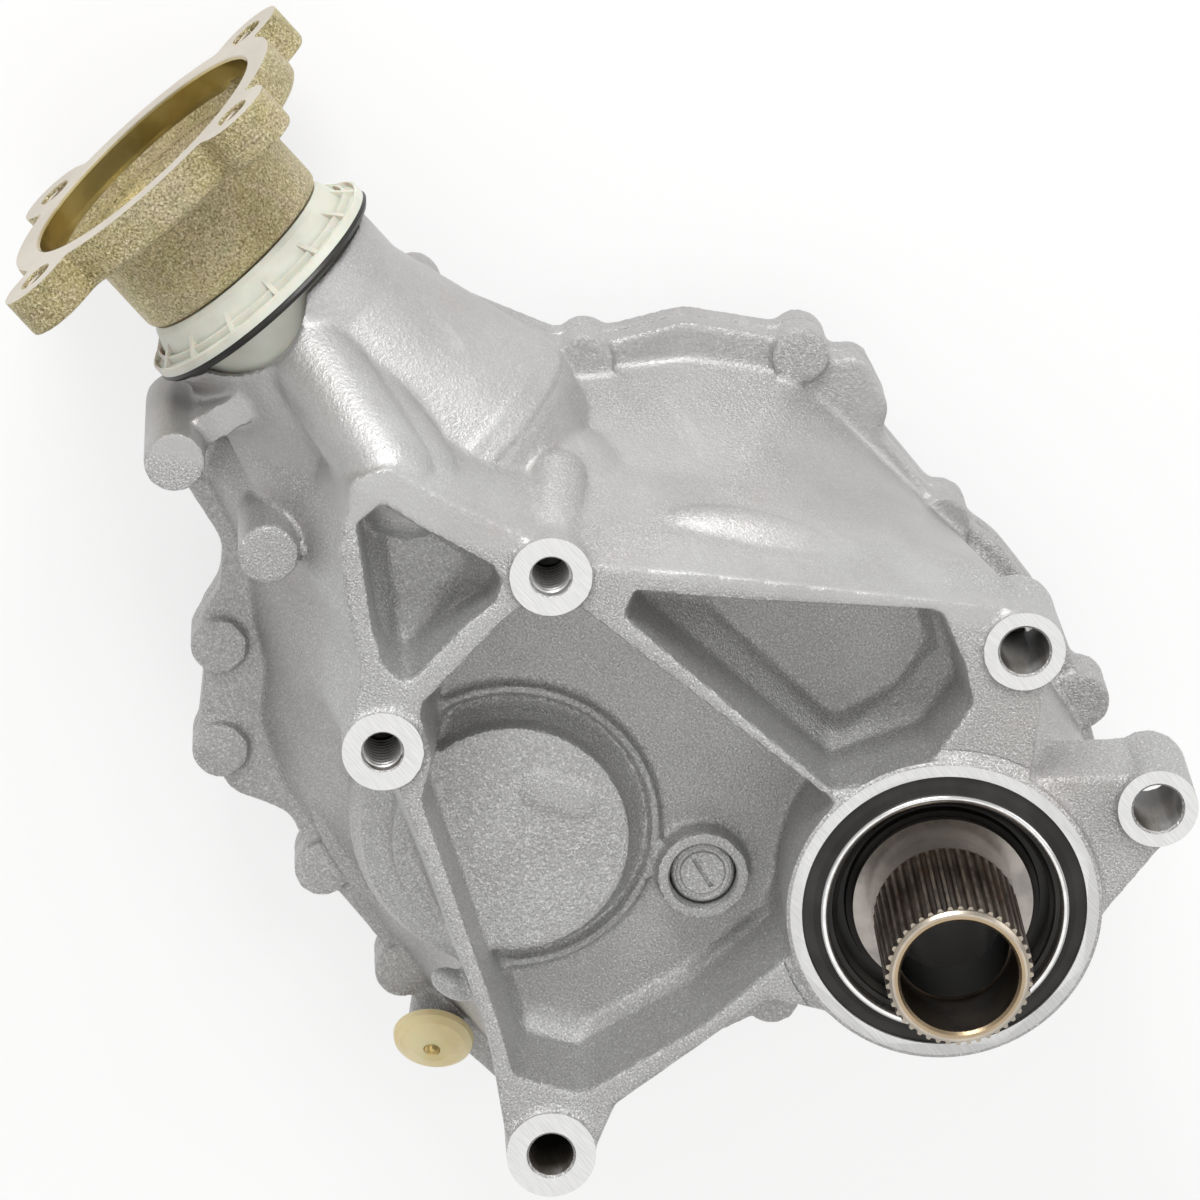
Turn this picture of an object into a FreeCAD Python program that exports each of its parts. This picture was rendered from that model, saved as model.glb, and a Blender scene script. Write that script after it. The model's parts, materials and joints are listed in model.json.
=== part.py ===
import FreeCAD, Part
import math
import os
import re
import Sketcher
from FreeCAD import Rotation, Vector

# Power transfer unit: a right-angle transfer case that bolts to a transaxle.
# Frame: origin on the input axis in the plane of the mounting face, +Z out of that face along
# the input axis, +X along the output axis towards the propeller shaft flange.

doc = FreeCAD.newDocument("TransferCase")
sheet = doc.addObject("Spreadsheet::Sheet", "sizes")

sizes = {
    # gear train between the input axis and the transfer axis
    "gearModule": 2.0,
    "inputTeeth": 46,
    "idlerTeeth": 27,
    "transferTeeth": 35,
    "gearBacklash": 0.7,
    "gearTopZ": -48.0,
    "gearWidth": 16.0,
    "idlerAngle": 48.9,
    "transferAngle": 35.1,
    "gearRoom": 3.0,
    # plan of the casting, and its levels along the input axis
    "planScale": 1.0,
    "ribTopZ": -2.0,
    "pocketFloorZ": -42.0,
    "chamberTopZ": -46.0,
    "partingZ": -115.0,
    "caseFlangeThick": 10.0,
    "coverFlangeThick": 10.0,
    "coverFloorZ": -138.0,
    "hubBottomZ": -152.0,
    # mounting bosses: centres and radii
    "bossOneX": 163.2,
    "bossOneY": 19.5,
    "bossTwoX": 154.8,
    "bossTwoY": 95.1,
    "bossThreeX": 48.6,
    "bossThreeY": -73.1,
    "bossFourX": -18.2,
    "bossFourY": -70.9,
    "bossFiveX": 19.5,
    "bossFiveY": 144.2,
    "bossRadius": 12.5,
    "footBossRadius": 14.0,
    "threadHoleRadius": 5.6,
    "threadHoleDepth": 30.0,
    "boltHoleRadius": 7.6,
    "footHoleRadius": 7.0,
    "bossDepth": 38.0,
    "crownX": 222.0,
    "crownY": 40.0,
    # pilot ring round the input
    "ringRadius": 49.0,
    "ringBoreRadius": 44.2,
    "ringBoreDepth": 24.0,
    "inputWallRadius": 56.0,
    "hubRadius": 47.0,
    # input shaft
    "splineTeeth": 44,
    "splineModule": 1.0,
    "splineEndZ": 56.0,
    "splineStartZ": 4.0,
    "splineDepth": 1.1,
    "shaftBoreRadius": 17.5,
    "shaftMouthRadius": 18.1,
    "shaftMouthDepth": 28.0,
    "collarRadius": 22.2,
    "shoulderRadius": 28.0,
    "shoulderZ": -6.0,
    "inputJournalRadius": 26.0,
    "inputSeatRadius": 40.0,
    "inputBearingWidth": 18.0,
    "inputFrontZ": -26.0,
    "inputRearZ": -138.0,
    # idler
    "idlerBossRadius": 14.5,
    "idlerBossZ": -32.0,
    "idlerPlugRadius": 11.5,
    "idlerPlugSink": 2.5,
    "idlerPinRadius": 10.0,
    "needleDiameter": 3.0,
    "needleCount": 16,
    "thrustWasherThick": 1.5,
    # transfer shaft and its ring gear
    "domeRadius": 37.0,
    "domeTopZ": -27.0,
    "transferSeatRadius": 31.0,
    "transferJournalRadius": 16.0,
    "transferBearingWidth": 15.0,
    "transferFrontZ": -31.5,
    "transferRearZ": -146.0,
    "ringGearRadius": 56.0,
    "ringGearInner": 40.0,
    "ringGearTeeth": 37,
    "ringGearTopZ": -105.4,
    "ringGearToothDepth": 4.0,
    "ringGearThick": 15.0,
    "ringGearFlange": 7.0,
    "ringBoltCircle": 47.0,
    "ringBoltCount": 8,
    # output axis, pinion and flange
    "outputY": 40.0,
    "outputZ": -85.0,
    "pinionHeadRadius": 20.0,
    "pinionHeadX": 106.0,
    "pinionHeadLength": 28.0,
    "pinionTeeth": 13,
    "pinionSeatRadius": 27.0,
    "pinionHeadBearingX": 156.0,
    "pinionTailBearingX": 216.0,
    "pinionBearingWidth": 17.0,
    "pinionHeadJournal": 15.0,
    "pinionTailJournal": 14.0,
    "neckOverhang": 52.0,
    "neckEndX": "=pinionTailBearingX + neckOverhang",
    "neckStepX": 229.0,
    "neckRadius": 38.0,
    "neckSeatRadius": 35.0,
    "deflectorStandOff": 4.5,
    "deflectorX": "=neckEndX + deflectorStandOff",
    "deflectorDepth": 12.5,
    "flangeHubX": "=deflectorX + deflectorDepth",
    "flangeReach": 43.0,
    "flangeFaceX": "=flangeHubX + flangeReach",
    "flangePlate": 14.0,
    "flangeRimRadius": 52.5,
    "flangeBoreRadius": 43.0,
    "flangeBoreDepth": 8.0,
    "flangeHubRadius": 34.5,
    "flangeStubRadius": 23.0,
    "earCircleRadius": 57.0,
    "earRadius": 12.3,
    "earHoleRadius": 5.2,
    "earCount": 4,
    "earAngle": 41.0,
    "deflectorRadius": 42.2,
    "deflectorRibs": 14,
    # fasteners and small parts
    "coverBoltRadius": 4.0,
    "coverBoltHead": 6.5,
    "coverLugRadius": 9.0,
    "padRadius": 9.5,
    "padTopZ": -40.0,
    "dowelRadius": 4.0,
    "plugRadius": 9.0,
    "plugDepth": 12.0,
    # running gaps
    "rollerGap": 0.3,
    "lipGap": 0.08,
    "pinGap": 0.05,
}
for row, (alias, value) in enumerate(sizes.items(), start=1):
    sheet.set("A%d" % row, alias)
    sheet.set("B%d" % row, str(value))
    sheet.setAlias("B%d" % row, alias)
doc.recompute()


def size(alias):
    return float(sheet.get(alias))


def cell(text):
    """Turn the words of a formula that are aliases into references to their cells."""
    return re.sub(r"[A-Za-z]+", lambda m: "sizes." + m.group(0) if m.group(0) in sizes else m.group(0), text)


def amount(text):
    """The value of a formula written in aliases."""
    return float(sheet.evalExpression(cell(text)))


# ---------------------------------------------------------------- places worked out from the sizes
def shaftAxes():
    """Centres of the idler and of the transfer shaft, one gear pair after the other."""
    firstPair = (size("inputTeeth") + size("idlerTeeth")) * size("gearModule") / 2
    secondPair = (size("idlerTeeth") + size("transferTeeth")) * size("gearModule") / 2
    first = math.radians(size("idlerAngle"))
    second = math.radians(size("transferAngle"))
    idler = Vector(firstPair * math.cos(first), firstPair * math.sin(first), 0)
    transfer = idler + Vector(secondPair * math.cos(second), secondPair * math.sin(second), 0)
    return idler, transfer


idlerCentre, transferCentre = shaftAxes()
inputCentre = Vector(0, 0, 0)
outputCentre = Vector(0, size("outputY"), size("outputZ"))
bossOne = Vector(size("bossOneX"), size("bossOneY"), 0)
bossTwo = Vector(size("bossTwoX"), size("bossTwoY"), 0)
bossThree = Vector(size("bossThreeX"), size("bossThreeY"), 0)
bossFour = Vector(size("bossFourX"), size("bossFourY"), 0)
bossFive = Vector(size("bossFiveX"), size("bossFiveY"), 0)
crown = Vector(size("crownX"), size("crownY"), 0)
bossRadius = size("bossRadius")
ribTop = size("ribTopZ")
floorZ = size("pocketFloorZ")
parting = size("partingZ")
gearTop = size("gearTopZ")
gearBottom = gearTop - size("gearWidth")
chamberTop = size("chamberTopZ")
neckEnd = size("neckEndX")
flangeFace = size("flangeFaceX")
alongX = Rotation(Vector(0, 1, 0), 90)


# ---------------------------------------------------------------- sub-parts as document objects
def turned(label, outline, axis="Z", centre=inputCentre):
    """A body of revolution; its outline is (radius, height) on Z or (station, radius) on X."""
    body = doc.addObject("PartDesign::Body", label)
    sketch = body.newObject("Sketcher::SketchObject", label + "_outline")
    plane = next(f for f in body.Origin.OriginFeatures if f.Role == "XZ_Plane")
    sketch.AttachmentSupport = [(plane, "")]
    sketch.MapMode = "FlatFace"
    points = [Vector(amount(u), amount(v), 0) for u, v in outline]
    for i, point in enumerate(points):
        sketch.addGeometry(Part.LineSegment(point, points[(i + 1) % len(points)]), False)
    for i, (u, v) in enumerate(outline):
        sketch.addConstraint(Sketcher.Constraint("Coincident", i, 2, (i + 1) % len(points), 1))
        bindCoordinate(sketch, i, "DistanceX", -2, points[i].x, u)
        bindCoordinate(sketch, i, "DistanceY", -1, points[i].y, v)
    revolution = body.newObject("PartDesign::Revolution", label + "_turn")
    revolution.Profile = sketch
    revolution.ReferenceAxis = (sketch, ["V_Axis" if axis == "Z" else "H_Axis"])
    revolution.Angle = 360
    body.Placement.Base = centre
    return body


def bindCoordinate(sketch, line, kind, axisLine, value, formula):
    """Hold the start of a line at a distance from the origin that the sheet gives."""
    if abs(value) < 1e-9:
        sketch.addConstraint(Sketcher.Constraint("PointOnObject", line, 1, axisLine))
        return
    index = sketch.addConstraint(Sketcher.Constraint(kind, -1, 1, line, 1, value))
    sketch.setExpression("Constraints[%d]" % index, cell(formula))


def cylinder(label, radius, low, high, centre=inputCentre, axis="Z"):
    """A cylinder between two levels along its axis, bound to the sheet by formulas."""
    obj = doc.addObject("Part::Cylinder", label)
    obj.setExpression("Radius", cell(radius))
    obj.setExpression("Height", cell("(%s) - (%s)" % (high, low)))
    place = Vector(centre)
    if axis == "Z":
        place.z = place.z + amount(low)
        obj.Placement = FreeCAD.Placement(place, Rotation())
    else:
        place.x = place.x + amount(low)
        obj.Placement = FreeCAD.Placement(place, alongX)
    return obj


def cone(label, lowRadius, highRadius, low, high, centre=inputCentre, axis="Z"):
    """A cone frustum between two levels along its axis."""
    obj = doc.addObject("Part::Cone", label)
    obj.setExpression("Radius1", cell(lowRadius))
    obj.setExpression("Radius2", cell(highRadius))
    obj.setExpression("Height", cell("(%s) - (%s)" % (high, low)))
    place = Vector(centre)
    if axis == "Z":
        place.z = place.z + amount(low)
        obj.Placement = FreeCAD.Placement(place, Rotation())
    else:
        place.x = place.x + amount(low)
        obj.Placement = FreeCAD.Placement(place, alongX)
    return obj


def shaped(label, shape):
    """A sub-part whose form Part's own functions give."""
    obj = doc.addObject("Part::Feature", label)
    obj.Shape = shape
    return obj


def fused(label, pieces):
    obj = doc.addObject("Part::MultiFuse", label)
    obj.Shapes = pieces
    obj.Refine = True
    return obj


def cutAway(label, base, tools):
    obj = doc.addObject("Part::Cut", label)
    obj.Base = base
    obj.Tool = tools[0] if len(tools) == 1 else fused(label + "_tools", tools)
    return obj


# ---------------------------------------------------------------- outlines
def insetCorners(corners, inset):
    """Move each side of a closed outline inwards (or outwards, if negative) by one distance."""
    count = len(corners)
    area = sum(corners[i].x * corners[(i + 1) % count].y - corners[(i + 1) % count].x * corners[i].y
               for i in range(count))
    turn = 1 if area > 0 else -1
    moved = []
    for i in range(count):
        before = (corners[i] - corners[i - 1]).normalize()
        after = (corners[(i + 1) % count] - corners[i]).normalize()
        normalBefore = Vector(-before.y, before.x, 0) * turn
        normalAfter = Vector(-after.y, after.x, 0) * turn
        mid = normalBefore + normalAfter
        moved.append(corners[i] + mid * (2 * inset / mid.dot(mid)))
    return moved


def roundedWire(corners, radius, z):
    """A closed outline at height z with its corners rounded, each as far as its sides allow."""
    count = len(corners)
    ends = []
    for i in range(count):
        corner = corners[i]
        back = corners[i - 1] - corner
        ahead = corners[(i + 1) % count] - corner
        halfTurn = (math.pi - back.getAngle(ahead)) / 2
        reach = min(radius * math.tan(halfTurn), 0.42 * back.Length, 0.42 * ahead.Length)
        arcRadius = reach / math.tan(halfTurn)
        start = corner + back * (reach / back.Length)
        end = corner + ahead * (reach / ahead.Length)
        inward = (back * (1 / back.Length) + ahead * (1 / ahead.Length)).normalize()
        middle = corner + inward * (arcRadius / math.cos(halfTurn) - arcRadius)
        ends.append((start, middle, end))
    lift = Vector(0, 0, z)
    edges = []
    for i, (start, middle, end) in enumerate(ends):
        edges.append(Part.Arc(start + lift, middle + lift, end + lift).toShape())
        edges.append(Part.LineSegment(end + lift, ends[(i + 1) % count][0] + lift).toShape())
    return Part.Wire(edges)


def draftedBlock(top, topRadius, topZ, bottom, bottomRadius, bottomZ):
    """The solid between two rounded outlines with as many corners."""
    wires = [roundedWire(bottom, bottomRadius, bottomZ), roundedWire(top, topRadius, topZ)]
    return Part.makeLoft(wires, True, True)


def pocketTool(corners, radius, bottomZ, draft, bevel=3.0):
    """A tapered pocket: full size at the rib tops, smaller by its draft near the floor, then bevelled."""
    walls = insetCorners(corners, draft)
    floor = insetCorners(corners, draft + bevel)
    levels = [roundedWire(floor, radius, bottomZ), roundedWire(walls, radius, bottomZ + 2 * bevel),
              roundedWire(corners, radius, ribTop + 2)]
    return Part.makeLoft(levels, True, True)


def prism(wire, height):
    return Part.Face(wire).extrude(Vector(0, 0, height))


def tangentHull(first, firstRadius, second, secondRadius, low, high):
    """A web as wide as two round bosses, from one to the other."""
    line = second - first
    across = Vector(-line.y, line.x, 0).normalize()
    corners = [first + across * firstRadius, second + across * secondRadius,
               second - across * secondRadius, first - across * firstRadius]
    wire = Part.makePolygon([c + Vector(0, 0, low) for c in corners + corners[:1]])
    return prism(wire, high - low)


def slotPad(first, second, radius, low, high):
    """A raised pad with round ends."""
    ends = [Part.makeCylinder(radius, high - low, place + Vector(0, 0, low)) for place in (first, second)]
    return tangentHull(first, radius, second, radius, low, high).fuse(ends).removeSplitter()


# ---------------------------------------------------------------- gears and bearings
def toothedWire(teeth, module, addendum, dedendum, thin=0.0, turn=0.0, z=0.0, slope=0.36):
    """The outline of a spur gear: three points a flank, at the root, the pitch line and the tip."""
    pitch = teeth * module / 2
    halfPitch = math.pi * module / 4 - thin / 2
    levels = [(pitch - dedendum, halfPitch + dedendum * slope),
              (pitch, halfPitch),
              (pitch + addendum, halfPitch - addendum * slope)]
    points = []
    for i in range(teeth):
        middle = turn + 2 * math.pi * i / teeth
        flank = [(radius, middle - half / pitch) for radius, half in levels]
        flank += [(radius, middle + half / pitch) for radius, half in reversed(levels)]
        points += [Vector(r * math.cos(a), r * math.sin(a), z) for r, a in flank]
    return Part.makePolygon(points + points[:1])


def spurGear(label, teeth, centre, boreRadius, turn, hub=None):
    """A spur gear of the train; hub is an optional (radius, low, high) boss on it."""
    module = size("gearModule")
    wire = toothedWire(teeth, module, module * 0.95, module * 1.2, size("gearBacklash") / 2, turn, gearBottom)
    solid = prism(wire, size("gearWidth"))
    if hub:
        solid = solid.fuse(Part.makeCylinder(hub[0], hub[2] - hub[1], Vector(0, 0, hub[1])))
    low = min(gearBottom, hub[1]) if hub else gearBottom
    high = max(gearTop, hub[2]) if hub else gearTop
    solid = solid.cut(Part.makeCylinder(boreRadius, high - low + 2, Vector(0, 0, low - 1)))
    gear = shaped(label, solid.removeSplitter())
    gear.Placement.Base = centre
    return gear


def taperedBearing(prefix, journal, seat, near, far, count, centre=inputCentre, axis="Z"):
    """Cup, cone and rollers of a tapered roller bearing; near is its small end, far its wide end."""
    def ring(radius, station):
        return (radius, station) if axis == "Z" else (station, radius)

    depth = "(%s - %s)" % (seat, journal)
    coneSmall = "%s + 0.20 * %s" % (journal, depth)
    coneWide = "%s + 0.36 * %s" % (journal, depth)
    cupSmall = "%s + 0.66 * %s" % (journal, depth)
    cupWide = "%s + 0.82 * %s" % (journal, depth)
    turned(prefix + "_cup", [ring(seat, near), ring(seat, far), ring(cupWide, far), ring(cupSmall, near)],
           axis, centre)
    turned(prefix + "_cone", [ring(journal, near), ring(journal, far), ring(coneWide, far),
                              ring(coneSmall, near)], axis, centre)
    nearAt = amount(near)
    farAt = amount(far)
    gap = size("rollerGap")
    section = amount(depth)
    rollerRadius = 0.46 * section / 2 - gap
    tilt = math.atan2(0.16 * section, abs(farAt - nearAt))
    small = amount(coneSmall) + (0.46 * section / 2)
    step = (farAt - nearAt)
    rollers = []
    for i in range(count):
        angle = 2 * math.pi * i / count
        out = Vector(math.cos(angle), math.sin(angle), 0)
        start = out * (small + 0.12 * 0.16 * section) + Vector(0, 0, nearAt + 0.12 * step)
        way = out * math.sin(tilt) + Vector(0, 0, math.copysign(math.cos(tilt), step))
        rollers.append(Part.makeCylinder(rollerRadius, 0.76 * abs(step) / math.cos(tilt), start, way))
    obj = shaped(prefix + "_rollers", Part.makeCompound(rollers))
    obj.Placement = FreeCAD.Placement(centre, Rotation() if axis == "Z" else alongX)
    return obj


# ---------------------------------------------------------------- main case
def spot(x, y):
    """A place on the plan of the casting."""
    return Vector(x, y, 0) * size("planScale")


def caseOutlines():
    """Corners of the casting: at the rib tops, at the foot on the flange, and the flare by half depth."""
    corners = [
        (spot(14, -46), spot(2, -56), 0.45),
        (bossThree + spot(-12.5, 2), spot(26, -66), 0.45),
        (bossThree + spot(8, -9.8), spot(62, -66), 0.45),
        (bossOne + spot(-30, -34), spot(134, -62), 0.42),
        (bossOne + spot(-8, -13), spot(160, -40), 0.40),
        (bossOne + spot(12, -3), spot(180, -11), 0.40),
        (bossOne + spot(36, 7), spot(204, 3), 0.45),
        (crown + spot(0, -6), spot(228, 12), 0.50),
        (crown + spot(4, 5), spot(238, 60), 0.50),
        (crown + spot(-10, 22), spot(246, 84), 0.30),
        (bossTwo + spot(36, -19), spot(236, 98), 0.35),
        (bossTwo + spot(24, -13), spot(202, 108), 0.35),
        (bossTwo + spot(16, -3), spot(187, 119), 0.38),
        (bossTwo + spot(12, 4), spot(172, 127), 0.35),
        (bossTwo + spot(-2, 8), spot(160, 140), 0.25),
        (bossTwo + spot(-14, 5), spot(140, 149), 0.20),
        (bossFive + spot(42, -11), spot(58, 161), 0.20),
        (bossFive + spot(12, 8), spot(8, 156), 0.35),
        (bossFive + spot(-13, -2), spot(-4, 136), 0.45),
        (bossFive + spot(-1, -25), spot(-8, 112), 0.45),
        (spot(14, 60), spot(-18, 82), 0.45),
        (spot(-30, 30), spot(-49, 20), 0.45),
        (spot(-30, -30), spot(-35, -40), 0.45)]
    top = [c[0] for c in corners]
    foot = [c[1] for c in corners]
    middle = [c[0] + (c[1] - c[0]) * c[2] for c in corners]
    return top, middle, foot


caseTop, caseMiddle, caseFoot = caseOutlines()
flangeOutline = [spot(x, y) for x, y in (
    (-43, -45), (-2, -65), (14, -71), (46, -73.5), (72, -68.5), (101, -70), (105, -77), (124, -82), (130, -73), (149, -64), (170, -47),
    (180, -27), (190, -13), (208, -4.5), (228, 5), (244, 14), (248, 60), (254, 84), (246, 104), (212, 110),
    (201, 121), (198, 133), (182, 145), (168, 160), (147, 164), (138, 159), (129, 155), (120, 158), (104, 161),
    (66, 163), (40, 168), (2, 165), (-12, 140), (-16, 116), (-24, 87), (-57, 21))]
coverBolts = [spot(x, y) for x, y in (
    (233, 11), (181.5, -15.5), (138, -67.5), (65.5, -65), (-10, -60), (-54, 8), (-21, 80), (0, 158),
    (65.5, 163), (109, 159), (161, 156.5), (187.5, 133.5), (240, 95))]
dowels = [spot(115, -68), spot(86, 156)]
pads = [Vector(neckEnd - 11, 89.5, 0), Vector(neckEnd - 52.5, 87.7, 0)]
ventAxis = Vector(-0.25, 0.38, 0.89).normalize()
ventSeat = Vector(46.5, 165, -103)


def caseBlank():
    """Tapered body, parting flange, input wall, output neck and its crown, as one casting."""
    flangeTop = parting + size("caseFlangeThick")
    levels = [roundedWire(caseFoot, 12, flangeTop), roundedWire(caseMiddle, 8, (ribTop + flangeTop) / 2),
              roundedWire(caseTop, 5, ribTop)]
    body = shaped("case_taper", Part.makeLoft(levels, True, True))
    flange = shaped("case_flange", prism(roundedWire(flangeOutline, 14, parting), size("caseFlangeThick")))
    inputWall = cylinder("case_input_wall", "inputWallRadius", "partingZ", "pocketFloorZ")
    inputCone = cone("case_input_cone", "inputWallRadius", "ringRadius", "pocketFloorZ", "ribTopZ - 8")
    flare = cone("case_neck_flare", "neckRadius + 17", "neckRadius", "neckEndX - 75", "neckEndX - 16",
                 outputCentre, "X")
    underFlare = shaped("case_under_flare", Part.makeBox(90, 120, 60, Vector(neckEnd - 80, outputCentre.y - 60,
                                                                           parting - 60)))
    neckCone = cutAway("case_neck_cone", flare, [underFlare])
    neckTube = cylinder("case_neck_tube", "neckRadius", "neckStepX", "neckEndX", outputCentre, "X")
    ridgeRadius = 14
    ridgeStart = crown + Vector(-6, -2, ribTop - ridgeRadius - 1)
    ridgeEnd = Vector(neckEnd - 13, crown.y - 2, outputCentre.z + size("neckRadius") - ridgeRadius + 2)
    ridgeLine = ridgeEnd - ridgeStart
    ridgeBar = Part.makeCylinder(ridgeRadius, ridgeLine.Length, ridgeStart, ridgeLine)
    ridgeHead = Part.makeSphere(ridgeRadius, ridgeStart, ridgeLine)
    neckRidge = shaped("case_neck_ridge", ridgeBar.fuse(ridgeHead))
    ringWall = cylinder("case_ring_wall", "ringGearRadius + gearRoom + 5", "partingZ",
                        "ringGearTopZ + gearRoom + 5", transferCentre)
    transferWall = cylinder("case_transfer_wall", "domeRadius + 13", "partingZ", "domeTopZ - 22", transferCentre)
    shoulder = cone("case_transfer_shoulder", "domeRadius + 13", "domeRadius + 5", "domeTopZ - 22", "domeTopZ - 7",
                    transferCentre)
    return fused("case_blank", [body, flange, inputWall, inputCone, neckCone, neckTube, neckRidge, ringWall,
                                transferWall, shoulder])


def casePockets():
    """The three cast pockets between the ribs and a small one beside the neck."""
    mainPocket = [bossOne + spot(-13.5, 0), bossOne + spot(-1, 15.5), bossTwo + spot(3, -17),
                  bossTwo + spot(-13, -9), bossTwo + spot(-20, 2), bossFive + spot(45, -17),
                  bossFive + spot(27, -8), bossFive + spot(8, -20), spot(20, 82), spot(20, 46), spot(47, 2)]
    sidePocket = [bossOne + spot(-18, -11.5), bossThree + spot(26, 10), bossThree + spot(3, 22),
                  spot(46, -30), spot(52, -1)]
    neckPocket = [bossOne + spot(6.8, 11.5), crown + spot(-4.5, 3), crown + spot(-12, 13),
                  bossTwo + spot(22, -18), bossTwo + spot(10, -18)]
    return [shaped("pocket_main", pocketTool(mainPocket, 6, floorZ, 3)),
            shaped("pocket_side", pocketTool(sidePocket, 6, floorZ, 5)),
            shaped("pocket_neck", pocketTool(neckPocket, 4, floorZ + 14, 4, 2))]


def caseBosses():
    """What stands up from the pocket floors and at the corners: bosses, ring, dome, pads and lugs."""
    bosses = [cylinder("boss_one", "bossRadius", "-bossDepth", "0", bossOne),
              cylinder("boss_two", "bossRadius", "-bossDepth", "0", bossTwo),
              cylinder("boss_three", "bossRadius", "-bossDepth", "0", bossThree),
              cylinder("boss_four", "bossRadius", "-bossDepth", "0", bossFour),
              cylinder("boss_five", "footBossRadius", "-bossDepth", "0", bossFive)]
    web = shaped("boss_four_web", tangentHull(inputCentre, size("ringRadius") * 0.92, bossFour, bossRadius * 0.9,
                                              -size("bossDepth"), ribTop - 2))
    bosses.append(web)
    bosses.append(cylinder("pilot_ring", "ringRadius", "pocketFloorZ", "0"))
    bosses.append(cylinder("dome", "domeRadius", "pocketFloorZ", "domeTopZ", transferCentre))
    bosses.append(cone("dome_skirt", "domeRadius + 6", "domeRadius", "pocketFloorZ - 1", "pocketFloorZ + 7",
                       transferCentre))
    ridgeOuter = Part.makeCylinder(size("domeRadius") + 10, 5, transferCentre + Vector(0, 0, floorZ - 1))
    ridgeInner = Part.makeCylinder(size("domeRadius") + 7, 7, transferCentre + Vector(0, 0, floorZ - 2))
    bosses.append(shaped("dome_ridge", ridgeOuter.cut(ridgeInner)))
    bosses.append(shaped("dome_pad", slotPad(transferCentre + Vector(-4, -24, 0), transferCentre + Vector(7, -18, 0),
                                             5, size("domeTopZ") - 1, size("domeTopZ") + 1)))
    bosses.append(cylinder("idler_boss", "idlerBossRadius", "pocketFloorZ - 1", "idlerBossZ", idlerCentre))
    for i, place in enumerate(pads):
        bosses.append(cylinder("pad_%d" % i, "padRadius", "partingZ + caseFlangeThick", "padTopZ", place))
    padWeb = tangentHull(pads[0], 5, Vector(neckEnd - 16, outputCentre.y + 20, 0), 5,
                         parting + 12, size("padTopZ") - 14)
    bosses.append(shaped("pad_web", padWeb))
    ventBoss = Part.makeCylinder(9, 17, ventSeat - ventAxis * 7, ventAxis)
    bosses.append(shaped("vent_boss", ventBoss))
    for i, place in enumerate(coverBolts):
        bosses.append(cylinder("case_lug_%d" % i, "coverLugRadius", "partingZ", "partingZ + caseFlangeThick + 4",
                               place))
    return bosses


def caseBores():
    """Machined holes, bearing seats and the chambers that hold the gears."""
    tools = []
    for name, place in (("one", bossOne), ("two", bossTwo)):
        tools.append(cylinder("thread_" + name, "threadHoleRadius", "-threadHoleDepth", "1", place))
    for name, place in (("three", bossThree), ("four", bossFour)):
        tools.append(cylinder("bolt_hole_" + name, "boltHoleRadius", "-bossDepth - 2", "1", place))
    tools.append(cylinder("bolt_hole_five", "footHoleRadius", "-bossDepth + 4", "1", bossFive))
    tools.append(cylinder("pilot_bore", "ringBoreRadius", "-ringBoreDepth", "1"))
    tools.append(cylinder("input_front_seat", "inputSeatRadius", "chamberTopZ - 1", "-ringBoreDepth + 1"))
    tools.append(cylinder("input_chamber", "(inputTeeth + 2) * gearModule / 2 + gearRoom", "partingZ - 1",
                          "chamberTopZ"))
    tools.append(cylinder("idler_chamber", "(idlerTeeth + 2) * gearModule / 2 + gearRoom", "partingZ - 1",
                          "chamberTopZ", idlerCentre))
    tools.append(cylinder("transfer_chamber", "(transferTeeth + 2) * gearModule / 2 + gearRoom", "partingZ - 1",
                          "chamberTopZ", transferCentre))
    tools.append(cylinder("transfer_front_seat", "transferSeatRadius", "chamberTopZ - 1", "transferFrontZ",
                          transferCentre))
    tools.append(cylinder("ring_gear_chamber", "ringGearRadius + gearRoom", "partingZ - 1",
                          "ringGearTopZ + gearRoom", transferCentre))
    tools.append(cylinder("transfer_front_relief", "transferSeatRadius - 5.5", "transferFrontZ - 1",
                          "transferFrontZ + 1", transferCentre))
    tools.append(cylinder("idler_plug_bore", "idlerPlugRadius", "chamberTopZ - 1", "idlerBossZ + 1", idlerCentre))
    tools.append(cylinder("pinion_chamber", "pinionSeatRadius", "pinionHeadX - 12",
                          "pinionHeadBearingX + pinionBearingWidth", outputCentre, "X"))
    tools.append(cylinder("pinion_passage", "pinionHeadJournal + 5", "pinionHeadBearingX", "pinionTailBearingX + 1",
                          outputCentre, "X"))
    tools.append(cylinder("pinion_tail_seat", "pinionSeatRadius", "pinionTailBearingX",
                          "pinionTailBearingX + pinionBearingWidth + 1", outputCentre, "X"))
    tools.append(cylinder("neck_bore", "neckSeatRadius", "pinionTailBearingX + pinionBearingWidth",
                          "neckEndX + 1", outputCentre, "X"))
    sumpLow = [spot(88, -46), spot(124, -44), spot(148, -26), spot(164, -8), spot(120, -2), spot(74, -14)]
    sumpHigh = [spot(170, 80), spot(206, 82), spot(186, 104), spot(168, 112)]
    tools.append(shaped("sump_low", pocketFromBelow(sumpLow, 8, -78)))
    tools.append(shaped("sump_high", pocketFromBelow(sumpHigh, 6, -82)))
    for i, place in enumerate(coverBolts):
        tools.append(cylinder("case_tap_%d" % i, "coverBoltRadius", "partingZ - 1", "partingZ + caseFlangeThick",
                              place))
    for i, place in enumerate(dowels):
        tools.append(cylinder("case_dowel_hole_%d" % i, "dowelRadius", "partingZ - 1", "partingZ + 8", place))
    scallop = Part.makeCylinder(27, 60, Vector(neckEnd + 18, outputCentre.y + 6, outputCentre.z + 22))
    tools.append(shaped("neck_scallop", scallop))
    tools.append(shaped("vent_bore", Part.makeCylinder(4, 18.5, ventSeat - ventAxis * 8.2, ventAxis)))
    return tools


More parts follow.
